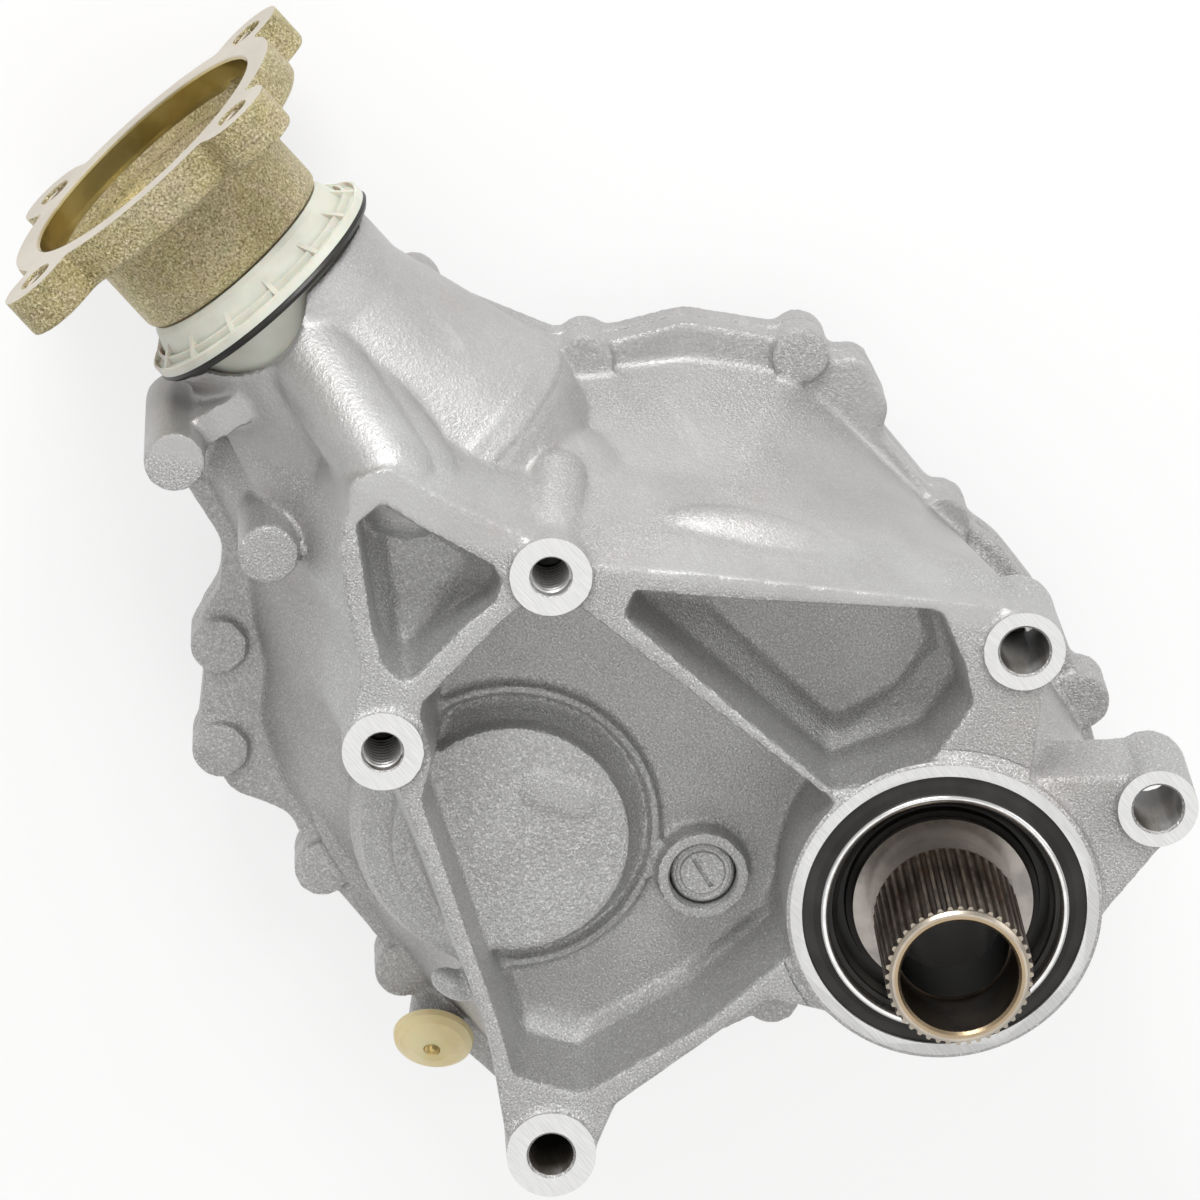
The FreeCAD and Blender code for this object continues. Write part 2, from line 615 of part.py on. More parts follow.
def pocketFromBelow(corners, radius, topZ):
    """A tapered core pocket that opens at the parting face."""
    return draftedBlock(insetCorners(corners, 4), radius, topZ, corners, radius, parting - 1)


casePocketed = cutAway("case_pocketed", caseBlank(), casePockets())
caseSolid = fused("case_solid", [casePocketed] + caseBosses())
cutAway("main_case", caseSolid, caseBores())


# ---------------------------------------------------------------- rear cover
plugPlaces = [spot(148, -4), spot(178, 88)]


def rearCover():
    """Cover with a parting flange, a ring gear dome and the hub round the axle passage."""
    flangeLow = parting - size("coverFlangeThick")
    flange = shaped("cover_flange", prism(roundedWire(flangeOutline, 14, flangeLow), size("coverFlangeThick")))
    skirt = shaped("cover_skirt", draftedBlock(insetCorners(caseFoot, 2), 12, flangeLow,
                                               insetCorners(caseFoot, 10), 12, size("coverFloorZ")))
    hub = cylinder("cover_hub", "hubRadius", "hubBottomZ", "partingZ")
    dome = cone("cover_dome", "transferSeatRadius + 14", "ringGearRadius + gearRoom + 8", "hubBottomZ",
                "partingZ - coverFlangeThick", transferCentre)
    lugs = [cylinder("cover_lug_%d" % i, "coverLugRadius", "partingZ - coverFlangeThick", "partingZ", place)
            for i, place in enumerate(coverBolts)]
    ribs = []
    for i, end in enumerate([coverBolts[1], coverBolts[3], coverBolts[10], coverBolts[12], coverBolts[6]]):
        start = inputCentre if i in (1, 4) else transferCentre
        ribs.append(shaped("cover_rib_%d" % i, tangentHull(start, 3.5, end, 3.5, size("coverFloorZ") - 5,
                                                            flangeLow)))
    solid = fused("cover_solid", [flange, skirt, hub, dome] + lugs + ribs)
    tools = [cylinder("cover_ring_chamber", "ringGearRadius + gearRoom",
                      "ringGearTopZ - ringGearToothDepth - ringGearThick - ringGearFlange + 1", "partingZ + 1",
                      transferCentre),
             cylinder("cover_transfer_seat", "transferSeatRadius", "transferRearZ", "partingZ + 1", transferCentre),
             cylinder("cover_transfer_relief", "transferSeatRadius - 5.5", "transferRearZ - 1",
                      "transferRearZ + 1", transferCentre),
             cylinder("cover_neck_notch", "neckRadius + 0.5", "neckStepX - 0.5", "neckEndX", outputCentre, "X"),
             cylinder("cover_input_seat", "inputSeatRadius", "inputRearZ", "partingZ + 1"),
             cylinder("cover_seal_seat", "inputSeatRadius - 8", "hubBottomZ - 1", "inputRearZ + 1")]
    tools += [cylinder("cover_bolt_hole_%d" % i, "coverBoltRadius + 0.5", "hubBottomZ", "partingZ + 1", place)
              for i, place in enumerate(coverBolts)]
    tools += [cylinder("cover_spot_face_%d" % i, "coverBoltHead + 1.8", "hubBottomZ - 1",
                       "partingZ - coverFlangeThick", place) for i, place in enumerate(coverBolts)]
    tools += [cylinder("cover_plug_face_%d" % i, "plugRadius + 3.5", "hubBottomZ - 1", "coverFloorZ", place)
              for i, place in enumerate(plugPlaces)]
    tools += [cylinder("cover_dowel_hole_%d" % i, "dowelRadius", "partingZ - 8", "partingZ + 1", place)
              for i, place in enumerate(dowels)]
    tools += [cylinder("cover_plug_hole_%d" % i, "plugRadius", "coverFloorZ - 1", "coverFloorZ + plugDepth", place)
              for i, place in enumerate(plugPlaces)]
    return cutAway("rear_cover", solid, tools)


rearCover()


def coverFasteners():
    """Flanged bolts from below, each into its lug, and two locating dowels between the flanges."""
    headTop = parting - size("coverFlangeThick")
    bolts = []
    for place in coverBolts:
        hexagon = [place + Vector(size("coverBoltHead") * math.cos(math.pi * k / 3),
                                  size("coverBoltHead") * math.sin(math.pi * k / 3), headTop - 6)
                   for k in range(7)]
        head = prism(Part.makePolygon(hexagon), 5)
        washer = Part.makeCylinder(size("coverBoltHead") + 1.5, 1.0, place + Vector(0, 0, headTop - 1))
        shank = Part.makeCylinder(size("coverBoltRadius"), parting + 8 - headTop, place + Vector(0, 0, headTop))
        bolts.append(head.fuse([washer, shank]).removeSplitter())
    shaped("cover_bolts", Part.makeCompound(bolts))


coverFasteners()
shaped("cover_dowels", Part.makeCompound([
    Part.makeCylinder(size("dowelRadius"), 14, place + Vector(0, 0, parting - 7)) for place in dowels]))


def coverPlug(label, centre):
    """Screw plug with a flange and a square socket, in the floor of the cover."""
    floor = size("coverFloorZ")
    body = Part.makeCylinder(size("plugRadius"), size("plugDepth"), centre + Vector(0, 0, floor))
    head = Part.makeCylinder(size("plugRadius") + 3, 3, centre + Vector(0, 0, floor - 3))
    socket = Part.makeBox(9, 9, 8, centre + Vector(-4.5, -4.5, floor - 4))
    shaped(label, body.fuse(head).removeSplitter().cut(socket))


coverPlug("fill_plug", plugPlaces[0])
coverPlug("drain_plug", plugPlaces[1])


# ---------------------------------------------------------------- bearings
taperedBearing("input_front", "inputJournalRadius", "inputSeatRadius", "inputFrontZ",
               "inputFrontZ - inputBearingWidth", 14)
taperedBearing("input_rear", "inputJournalRadius", "inputSeatRadius", "inputRearZ",
               "inputRearZ + inputBearingWidth", 14)
taperedBearing("transfer_front", "transferJournalRadius", "transferSeatRadius", "transferFrontZ",
               "transferFrontZ - transferBearingWidth", 12, transferCentre)
taperedBearing("transfer_rear", "transferJournalRadius", "transferSeatRadius", "transferRearZ",
               "transferRearZ + transferBearingWidth", 12, transferCentre)
taperedBearing("pinion_head", "pinionHeadJournal", "pinionSeatRadius", "pinionHeadBearingX + pinionBearingWidth",
               "pinionHeadBearingX", 12, outputCentre, "X")
taperedBearing("pinion_tail", "pinionTailJournal", "pinionSeatRadius", "pinionTailBearingX",
               "pinionTailBearingX + pinionBearingWidth", 12, outputCentre, "X")


# ---------------------------------------------------------------- input shaft and its gear
def inputShaft():
    """Hollow shaft with an outside spline above the mounting face and a polished shoulder."""
    root = "(splineTeeth + 1) * splineModule / 2 - splineDepth"
    core = turned("input_shaft_core", [
        ("shaftBoreRadius", "inputRearZ + 1"), ("shaftBoreRadius", "splineEndZ - shaftMouthDepth"),
        ("shaftMouthRadius", "splineEndZ - shaftMouthDepth"), ("shaftMouthRadius", "splineEndZ - 1"),
        ("shaftMouthRadius + 0.8", "splineEndZ"), (root + " - 0.8", "splineEndZ"),
        (root, "splineEndZ - 0.8"), (root, "splineStartZ"), ("collarRadius", "splineStartZ"),
        ("collarRadius", "shoulderZ"), ("shoulderRadius", "shoulderZ"), ("shoulderRadius", "inputFrontZ"),
        ("inputJournalRadius", "inputFrontZ"), ("inputJournalRadius", "inputRearZ + 1")])
    tip = (size("splineTeeth") + 1) * size("splineModule") / 2
    pitch = size("splineTeeth") * size("splineModule") / 2
    length = size("splineEndZ") - 1.5 - size("splineStartZ")
    wire = toothedWire(int(size("splineTeeth")), size("splineModule"), tip - pitch,
                       size("splineDepth") - (tip - pitch), 0.1, 0, size("splineStartZ"), 0.55)
    splines = prism(wire, length).cut(Part.makeCylinder(amount("shaftMouthRadius + 1.5"), length + 2,
                                                        Vector(0, 0, size("splineStartZ") - 1)))
    fused("input_shaft", [core, shaped("input_spline", splines)])


inputShaft()
inputTurn = math.radians(size("idlerAngle"))
idlerTurn = inputTurn + math.pi + math.pi / size("idlerTeeth")
idlerPitchAngle = 2 * math.pi / size("idlerTeeth")
meshTurn = math.radians(size("transferAngle"))
toothOffset = (meshTurn - idlerTurn) / idlerPitchAngle
transferTurn = (meshTurn + math.pi
                + (toothOffset - math.floor(toothOffset) + 0.5) * 2 * math.pi / size("transferTeeth"))
frontBearingEnd = size("inputFrontZ") - size("inputBearingWidth")
spurGear("input_gear", int(size("inputTeeth")), inputCentre, size("inputJournalRadius"), inputTurn,
         (size("inputJournalRadius") + 6, gearTop, frontBearingEnd))
turned("input_spacer", [("inputJournalRadius", "inputRearZ + inputBearingWidth"),
                        ("inputJournalRadius", "gearTopZ - gearWidth"),
                        ("inputJournalRadius + 4", "gearTopZ - gearWidth"),
                        ("inputJournalRadius + 4", "inputRearZ + inputBearingWidth")])


# ---------------------------------------------------------------- idler
def idlerSet():
    """Idler gear on needles round a headed pin pressed into its boss, between thrust washers."""
    plugTop = "idlerBossZ - idlerPlugSink"
    pinEnd = "gearTopZ - gearWidth - thrustWasherThick - 4"
    turned("idler_pin", [("0", pinEnd), ("0", plugTop), ("idlerPlugRadius - 2.4", plugTop),
                         ("idlerPlugRadius - 2.4", plugTop + " + 1"), ("idlerPlugRadius - 1.2", plugTop + " + 1"),
                         ("idlerPlugRadius - 1.2", plugTop + " + 0.2"), ("idlerPlugRadius", plugTop + " + 0.2"),
                         ("idlerPlugRadius", "chamberTopZ"), ("idlerPinRadius", "chamberTopZ"),
                         ("idlerPinRadius", pinEnd)], "Z", idlerCentre)
    gearBore = size("idlerPinRadius") + size("needleDiameter") + 2 * size("pinGap")
    spurGear("idler_gear", int(size("idlerTeeth")), idlerCentre, gearBore, idlerTurn)
    pitch = size("idlerPinRadius") + size("pinGap") + size("needleDiameter") / 2
    needles = []
    for i in range(int(size("needleCount"))):
        angle = 2 * math.pi * i / size("needleCount")
        base = idlerCentre + Vector(pitch * math.cos(angle), pitch * math.sin(angle), gearBottom + 0.5)
        needles.append(Part.makeCylinder(size("needleDiameter") / 2, size("gearWidth") - 1, base))
    shaped("idler_needles", Part.makeCompound(needles))
    washerOuter = "idlerPinRadius + needleDiameter + 5"
    washers = []
    for low in (gearTop + 0.3, gearBottom - 0.3 - size("thrustWasherThick")):
        ring = Part.makeCylinder(amount(washerOuter), size("thrustWasherThick"), idlerCentre + Vector(0, 0, low))
        hole = Part.makeCylinder(size("idlerPinRadius") + size("pinGap"), 5, idlerCentre + Vector(0, 0, low - 1))
        washers.append(ring.cut(hole))
    shaped("idler_thrust_washers", Part.makeCompound(washers))
    ringTop = "gearTopZ - gearWidth - thrustWasherThick - 0.4"
    turned("idler_snap_ring", [("idlerPinRadius", ringTop), ("idlerPinRadius + 2", ringTop),
                               ("idlerPinRadius + 2", ringTop + " - 1.5"), ("idlerPinRadius", ringTop + " - 1.5")],
           "Z", idlerCentre)


idlerSet()


# ---------------------------------------------------------------- transfer shaft and ring gear
def boltCircle(z):
    """Places of the ring gear's bolts at height z."""
    count = int(size("ringBoltCount"))
    turns = [2 * math.pi * i / count for i in range(count)]
    reach = size("ringBoltCircle")
    return [transferCentre + Vector(reach * math.cos(a), reach * math.sin(a), z) for a in turns]


ringRootZ = "ringGearTopZ - ringGearToothDepth"
ringBaseZ = "ringGearTopZ - ringGearThick"
transferCore = turned("transfer_shaft_core", [
    ("0", "transferRearZ + 0.5"), ("0", "transferFrontZ - 0.5"),
    ("transferJournalRadius", "transferFrontZ - 0.5"), ("transferJournalRadius", "gearTopZ - gearWidth"),
    ("transferJournalRadius + 6", "gearTopZ - gearWidth"), ("transferJournalRadius + 6", ringBaseZ + " + 2"),
    ("ringGearInner", ringBaseZ + " + 2"), ("ringGearInner", ringBaseZ),
    ("ringBoltCircle + 6", ringBaseZ), ("ringBoltCircle + 6", ringBaseZ + " - ringGearFlange"),
    ("transferJournalRadius + 6", ringBaseZ + " - ringGearFlange"),
    ("transferJournalRadius + 6", "transferRearZ + transferBearingWidth"),
    ("transferJournalRadius", "transferRearZ + transferBearingWidth"),
    ("transferJournalRadius", "transferRearZ + 0.5")], "Z", transferCentre)
shaftHoles = [Part.makeCylinder(3, size("ringGearFlange") + 2, place)
              for place in boltCircle(amount(ringBaseZ + " - ringGearFlange - 1"))]
cutAway("transfer_shaft", transferCore, [shaped("transfer_shaft_holes", Part.makeCompound(shaftHoles))])
spurGear("transfer_gear", int(size("transferTeeth")), transferCentre, size("transferJournalRadius"), transferTurn,
         (size("transferJournalRadius") + 6, gearTop, size("transferFrontZ") - size("transferBearingWidth")))


def ringGear():
    """Hypoid ring gear: an annulus with slanted teeth on its upper face, bolted from below."""
    outer = size("ringGearRadius")
    inner = size("ringGearInner")
    rootZ = amount(ringRootZ)
    baseZ = amount(ringBaseZ)
    annulus = Part.makeCylinder(outer, rootZ - baseZ, Vector(0, 0, baseZ))
    annulus = annulus.cut(Part.makeCylinder(inner, rootZ - baseZ + 2, Vector(0, 0, baseZ - 1)))
    toothInner = inner + 3
    teeth = int(size("ringGearTeeth"))
    step = 2 * math.pi / teeth
    slant = 0.22
    points = []
    for i in range(teeth):
        for radius, angle in ((toothInner, 0.26 * step), (outer, slant + 0.30 * step),
                              (outer, slant + 0.80 * step), (toothInner, 0.84 * step)):
            points.append(Vector(radius * math.cos(i * step + angle), radius * math.sin(i * step + angle), rootZ))
    star = prism(Part.makePolygon(points + points[:1]), size("ringGearToothDepth"))
    star = star.cut(Part.makeCylinder(toothInner + 0.2, 20, Vector(0, 0, rootZ - 5)))
    gear = annulus.fuse(star)
    holes = [Part.makeCylinder(3, 9, place - transferCentre) for place in boltCircle(baseZ - 1)]
    obj = shaped("ring_gear", gear.cut(holes).removeSplitter())
    obj.Placement.Base = transferCentre


ringGear()


def ringGearBolts():
    """Flanged bolts from below through the shaft's flange into the ring gear."""
    flangeLow = amount(ringBaseZ + " - ringGearFlange")
    bolts = []
    for place in boltCircle(flangeLow):
        head = Part.makeCylinder(4.5, 1.8, place - Vector(0, 0, 1.8))
        shank = Part.makeCylinder(2.9, size("ringGearFlange") + 7, place)
        bolts.append(head.fuse(shank).removeSplitter())
    shaped("ring_gear_bolts", Part.makeCompound(bolts))


ringGearBolts()


# ---------------------------------------------------------------- output pinion, nut and flange
def pinionShaft():
    """Pinion with slanted teeth on a slightly conical head, then two journals, spline and thread."""
    headX = size("pinionHeadX")
    length = size("pinionHeadLength")
    wires = []
    for share, turn in ((0.0, 0.0), (0.5, 0.28), (1.0, 0.56)):
        scale = 0.88 + 0.12 * share
        tip = size("pinionHeadRadius") * scale
        wire = toothedWire(int(size("pinionTeeth")), 2 * (tip - 2) / size("pinionTeeth"), 2 * scale,
                           2.2 * scale, 0.6, turn, headX + length * share, 0.5)
        wires.append(wire)
    head = Part.makeLoft(wires, True, True)
    head.Placement = FreeCAD.Placement(Vector(0, 0, 0), Rotation(Vector(0, 1, 0), 90))
    headObj = shaped("pinion_head", head)
    headObj.Placement = FreeCAD.Placement(outputCentre, alongX)
    start = "pinionHeadX + pinionHeadLength"
    nutEnd = "flangeHubX + 22"
    core = turned("pinion_core", [
        (start + " - 2", "0"), (start + " - 2", "pinionHeadJournal"),
        ("pinionTailBearingX", "pinionHeadJournal"), ("pinionTailBearingX", "pinionTailJournal"),
        ("pinionTailBearingX + pinionBearingWidth", "pinionTailJournal"),
        ("pinionTailBearingX + pinionBearingWidth", "pinionTailJournal - 1.5"),
        (nutEnd + " - 1", "pinionTailJournal - 1.5"), (nutEnd, "pinionTailJournal - 2.5"), (nutEnd, "0")],
        "X", outputCentre)
    fused("pinion_shaft", [headObj, core])


pinionShaft()
turned("crush_spacer", [
    ("pinionHeadBearingX + pinionBearingWidth", "pinionHeadJournal"), ("pinionTailBearingX", "pinionHeadJournal"),
    ("pinionTailBearingX", "pinionHeadJournal + 2.5"),
    ("(pinionTailBearingX + pinionHeadBearingX + pinionBearingWidth) / 2", "pinionHeadJournal + 4.5"),
    ("pinionHeadBearingX + pinionBearingWidth", "pinionHeadJournal + 2.5")], "X", outputCentre)
bowlFloorX = "flangeHubX + 8"
turned("pinion_washer", [(bowlFloorX, "pinionTailJournal - 1.5"), (bowlFloorX + " + 2", "pinionTailJournal - 1.5"),
                         (bowlFloorX + " + 2", "pinionTailJournal + 6"), (bowlFloorX, "pinionTailJournal + 6")],
       "X", outputCentre)


def pinionNut():
    """Hexagon lock nut in the bowl of the output flange."""
    low = amount(bowlFloorX) + 2
    across = size("pinionTailJournal") + 5
    hexagon = [Vector(across * math.cos(math.pi * k / 3), across * math.sin(math.pi * k / 3), low) for k in range(7)]
    nut = prism(Part.makePolygon(hexagon), 9)
    nut = nut.cut(Part.makeCylinder(size("pinionTailJournal") - 1.5, 12, Vector(0, 0, low - 1)))
    shaped("pinion_nut", nut).Placement = FreeCAD.Placement(outputCentre, alongX)


pinionNut()


def outputFlange():
    """Four-eared flange with a machined pilot bore, a cast bowl and a stub that runs in the seal."""
    plateBack = "flangeFaceX - flangePlate"
    core = turned("flange_core", [
        ("pinionTailBearingX + pinionBearingWidth", "pinionTailJournal - 1.5"),
        ("pinionTailBearingX + pinionBearingWidth", "flangeStubRadius"),
        ("flangeHubX", "flangeStubRadius"), ("flangeHubX", "flangeHubRadius - 1.5"),
        ("flangeHubX + 1.5", "flangeHubRadius"), (plateBack, "flangeHubRadius"),
        (plateBack, "flangeRimRadius - 2"), (plateBack + " + 2", "flangeRimRadius"),
        ("flangeFaceX - 1", "flangeRimRadius"), ("flangeFaceX", "flangeRimRadius - 1"),
        ("flangeFaceX", "flangeBoreRadius + 0.8"), ("flangeFaceX - 0.8", "flangeBoreRadius"),
        ("flangeFaceX - flangeBoreDepth", "flangeBoreRadius"),
        ("flangeFaceX - flangeBoreDepth", "flangeBoreRadius - 3"),
        ("flangeFaceX - flangeBoreDepth - 2", "flangeBoreRadius - 4"), (plateBack, "flangeHubRadius - 5.5"),
        (bowlFloorX, "flangeHubRadius - 8"),
        (bowlFloorX, "pinionTailJournal - 1.5")], "X", outputCentre)
    ears = []
    holes = []
    reach = size("earCircleRadius")
    for i in range(int(size("earCount"))):
        turn = math.radians(size("earAngle") + 360 * i / size("earCount"))
        across = Vector(0, math.cos(turn), math.sin(turn))
        centre = outputCentre + across * reach
        centre.x = amount(plateBack)
        ear = Part.makeCylinder(size("earRadius"), size("flangePlate"), centre, Vector(1, 0, 0))
        side = Vector(0, -math.sin(turn), math.cos(turn)) * size("earRadius")
        inner = centre - across * (reach - size("flangeHubRadius") - 10)
        arm = Part.Face(Part.makePolygon([inner - side, centre - side, centre + side, inner + side, inner - side]))
        ears.append(ear.fuse(arm.extrude(Vector(size("flangePlate"), 0, 0))))
        holes.append(Part.makeCylinder(size("earHoleRadius"), size("flangePlate") + 2, centre - Vector(1, 0, 0),
                                       Vector(1, 0, 0)))
    bore = Part.makeCylinder(size("flangeBoreRadius"), size("flangeBoreDepth"),
                             outputCentre + Vector(flangeFace - size("flangeBoreDepth"), 0, 0), Vector(1, 0, 0))
    earShape = ears[0].fuse(ears[1:])
    whole = fused("flange_whole", [core, shaped("flange_ears", earShape)])
    cutAway("output_flange", whole, [shaped("flange_holes", Part.makeCompound(holes)),
                                     shaped("flange_bore", bore)])


outputFlange()


def deflector():
    """Moulded dust deflector: a dished rim stiffened by gusset ribs, and its rubber ring behind."""
    hubOuter = size("flangeHubRadius") + 1.0
    rim = size("deflectorRadius")
    disc = turned("deflector_disc", [
        ("deflectorX", "flangeStubRadius"), ("flangeHubX - 0.3", "flangeStubRadius"),
        ("flangeHubX - 0.3", "flangeHubRadius - 1.5"), ("flangeHubX - 2", "flangeHubRadius - 0.2"),
        ("deflectorX + 3.6", "flangeHubRadius + 2.4"), ("deflectorX + 3", "deflectorRadius - 4.6"),
        ("deflectorX + 5", "deflectorRadius - 4.4"), ("deflectorX + 4.8", "deflectorRadius - 3.6"),
        ("deflectorX + 2.6", "deflectorRadius - 3.4"), ("deflectorX + 2", "deflectorRadius - 1.4"),
        ("deflectorX + 3.2", "deflectorRadius - 0.8"), ("deflectorX + 2.8", "deflectorRadius"),
        ("deflectorX", "deflectorRadius")], "X", outputCentre)
    ribs = []
    count = int(size("deflectorRibs"))
    low = size("deflectorX") + 2
    for i in range(count):
        turn = 2 * math.pi * (i + 0.5) / count
        corners = [Vector(low, 0, hubOuter - 3), Vector(size("flangeHubX") - 3, 0, hubOuter - 2),
                   Vector(size("deflectorX") + 3, 0, rim - 1), Vector(low, 0, rim - 1)]
        face = Part.Face(Part.makePolygon([c + Vector(0, -0.8, 0) for c in corners + corners[:1]]))
        rib = face.extrude(Vector(0, 1.6, 0))
        rib.rotate(Vector(0, 0, 0), Vector(1, 0, 0), math.degrees(turn))
        rib.translate(outputCentre)
        ribs.append(rib)
    fused("dust_deflector", [disc, shaped("deflector_ribs", Part.makeCompound(ribs))])


deflector()
turned("deflector_rubber", [("deflectorX - 2.5", "neckSeatRadius"), ("deflectorX", "neckSeatRadius"),
                            ("deflectorX", "deflectorRadius - 0.4"), ("deflectorX - 1.2", "deflectorRadius + 0.3"),
                            ("deflectorX - 2.5", "deflectorRadius - 0.8")], "X", outputCentre)
turned("deflector_sleeve", [("neckEndX - 12", "neckSeatRadius - 3"), ("deflectorX", "neckSeatRadius - 3"),
                            ("deflectorX", "neckSeatRadius - 0.8"),
                            ("neckEndX - 12", "neckSeatRadius - 0.8")], "X", outputCentre)


# ---------------------------------------------------------------- seals, plugs and the breather
turned("output_seal", [("neckEndX - 22", "flangeStubRadius + lipGap"), ("neckEndX - 22", "neckSeatRadius"),
                       ("neckEndX - 13", "neckSeatRadius"), ("neckEndX - 13", "neckSeatRadius - 2"),
                       ("neckEndX - 19", "neckSeatRadius - 2"), ("neckEndX - 19", "flangeStubRadius + 3"),
                       ("neckEndX - 15", "flangeStubRadius + 2"), ("neckEndX - 15", "flangeStubRadius + lipGap")],
       "X", outputCentre)
turned("pilot_seal", [("ringBoreRadius", "-14"), ("ringBoreRadius", "-1"), ("ringBoreRadius - 3.5", "-0.5"),
                      ("ringBoreRadius - 6", "0.5"), ("ringBoreRadius - 6", "-14")])
turned("pilot_seal_band", [("ringBoreRadius - 6", "-14"), ("ringBoreRadius - 6", "1.2"),
                           ("ringBoreRadius - 7", "1.8"), ("ringBoreRadius - 8", "1.2"),
                           ("ringBoreRadius - 8", "-14")])
turned("input_seal", [("ringBoreRadius - 8", "-14"), ("ringBoreRadius - 8", "-3"), ("ringBoreRadius - 9.5", "-3"),
                      ("ringBoreRadius - 10", "-11"), ("shoulderRadius + 2.5", "-11"),
                      ("shoulderRadius + 2", "-8.5"), ("shoulderRadius + lipGap", "-9"),
                      ("shoulderRadius + lipGap", "-10.5"), ("shoulderRadius + 1.2", "-14")])
turned("seal_carrier", [("ringBoreRadius", "-ringBoreDepth"), ("ringBoreRadius", "-14"),
                        ("shoulderRadius + 1.2", "-14"), ("shoulderRadius + 1.2", "-ringBoreDepth + 1"),
                        ("inputSeatRadius - 4", "-ringBoreDepth + 1"), ("inputSeatRadius - 4", "-ringBoreDepth")])
ventTurn = Rotation(Vector(0, 0, 1), ventAxis)
ventFitting = turned("vent_fitting", [("0", "-8"), ("0", "17.4"), ("1.8", "16.8"), ("2.6", "15.4"), ("2.6", "10"),
                                      ("4", "10"), ("4", "-8")])
ventCap = turned("vent_cap", [("2.7", "10.2"), ("2.7", "15.6"), ("6", "15.2"), ("10.5", "13.6"), ("12.6", "11.8"),
                              ("13.1", "9.8"), ("12.2", "8.9"), ("9.8", "8.9"), ("9.8", "10.2")])
ventFitting.Placement = FreeCAD.Placement(ventSeat, ventTurn)
ventCap.Placement = FreeCAD.Placement(ventSeat, ventTurn)
turned("axle_seal", [("inputSeatRadius - 8", "hubBottomZ + 1"), ("inputSeatRadius - 8", "hubBottomZ + 11"),
                     ("shaftBoreRadius + 0.5", "hubBottomZ + 11"), ("shaftBoreRadius + 0.5", "hubBottomZ + 9"),
                     ("shaftBoreRadius + 2", "hubBottomZ + 8"), ("inputSeatRadius - 10", "hubBottomZ + 8"),
                     ("inputSeatRadius - 10", "hubBottomZ + 1")])


# ---------------------------------------------------------------- check and write the sub-parts
nodes = ["main_case", "rear_cover", "cover_bolts", "input_front_cup", "input_front_cone", "input_front_rollers",
         "input_rear_cup", "input_rear_cone", "input_rear_rollers", "transfer_front_cup", "transfer_front_cone",
         "transfer_front_rollers", "transfer_rear_cup", "transfer_rear_cone", "transfer_rear_rollers",
         "pinion_head_cup", "pinion_head_cone", "pinion_head_rollers", "pinion_tail_cup", "pinion_tail_cone",
         "pinion_tail_rollers", "input_shaft", "input_gear", "input_spacer", "idler_pin", "idler_gear",
         "idler_needles", "idler_thrust_washers", "idler_snap_ring", "transfer_shaft", "transfer_gear",
         "ring_gear", "ring_gear_bolts", "pinion_shaft", "crush_spacer", "pinion_washer", "pinion_nut",
         "output_flange", "dust_deflector", "deflector_rubber", "deflector_sleeve", "output_seal",
         "pilot_seal", "pilot_seal_band", "input_seal", "seal_carrier", "axle_seal", "cover_dowels",
         "fill_plug", "drain_plug", "vent_cap", "vent_fitting"]
doc.recompute()
failed = [o.Label for o in doc.Objects if "Invalid" in o.State or "Error" in o.State]
if failed:
    raise RuntimeError("features that failed: " + ", ".join(failed))
os.makedirs("parts", exist_ok=True)
for label in nodes:
    shape = doc.getObjectsByLabel(label)[0].Shape
    if shape.isNull() or not shape.isValid():
        raise RuntimeError("bad shape: " + label)
    shape.exportStep("parts/%s.step" % label)
    print("%-24s solids %d volume %.0f" % (label, len(shape.Solids), shape.Volume))
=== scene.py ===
import json
import math
import bmesh
import bpy
import numpy as np
from mathutils import Matrix, Vector
from mathutils.bvhtree import BVHTree


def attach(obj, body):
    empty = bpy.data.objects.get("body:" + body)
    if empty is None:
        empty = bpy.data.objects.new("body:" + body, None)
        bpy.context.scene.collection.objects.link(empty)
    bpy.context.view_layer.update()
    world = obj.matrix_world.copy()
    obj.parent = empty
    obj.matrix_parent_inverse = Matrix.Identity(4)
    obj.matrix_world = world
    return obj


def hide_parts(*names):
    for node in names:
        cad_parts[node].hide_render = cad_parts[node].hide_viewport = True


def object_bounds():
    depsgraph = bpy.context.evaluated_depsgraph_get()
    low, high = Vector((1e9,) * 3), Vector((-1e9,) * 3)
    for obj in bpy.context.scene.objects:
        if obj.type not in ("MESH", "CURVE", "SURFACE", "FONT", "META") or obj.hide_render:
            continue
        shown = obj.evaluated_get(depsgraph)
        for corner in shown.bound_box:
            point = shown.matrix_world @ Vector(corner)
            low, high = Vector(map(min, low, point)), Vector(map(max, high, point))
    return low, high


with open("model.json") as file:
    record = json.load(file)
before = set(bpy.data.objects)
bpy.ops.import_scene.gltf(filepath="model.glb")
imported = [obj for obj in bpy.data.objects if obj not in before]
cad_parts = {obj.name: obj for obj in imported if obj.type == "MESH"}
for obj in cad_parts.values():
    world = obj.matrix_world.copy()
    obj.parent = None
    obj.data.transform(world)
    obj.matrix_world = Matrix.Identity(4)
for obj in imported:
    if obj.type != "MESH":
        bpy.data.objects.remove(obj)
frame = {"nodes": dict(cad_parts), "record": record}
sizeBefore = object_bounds()
mm = 0.001


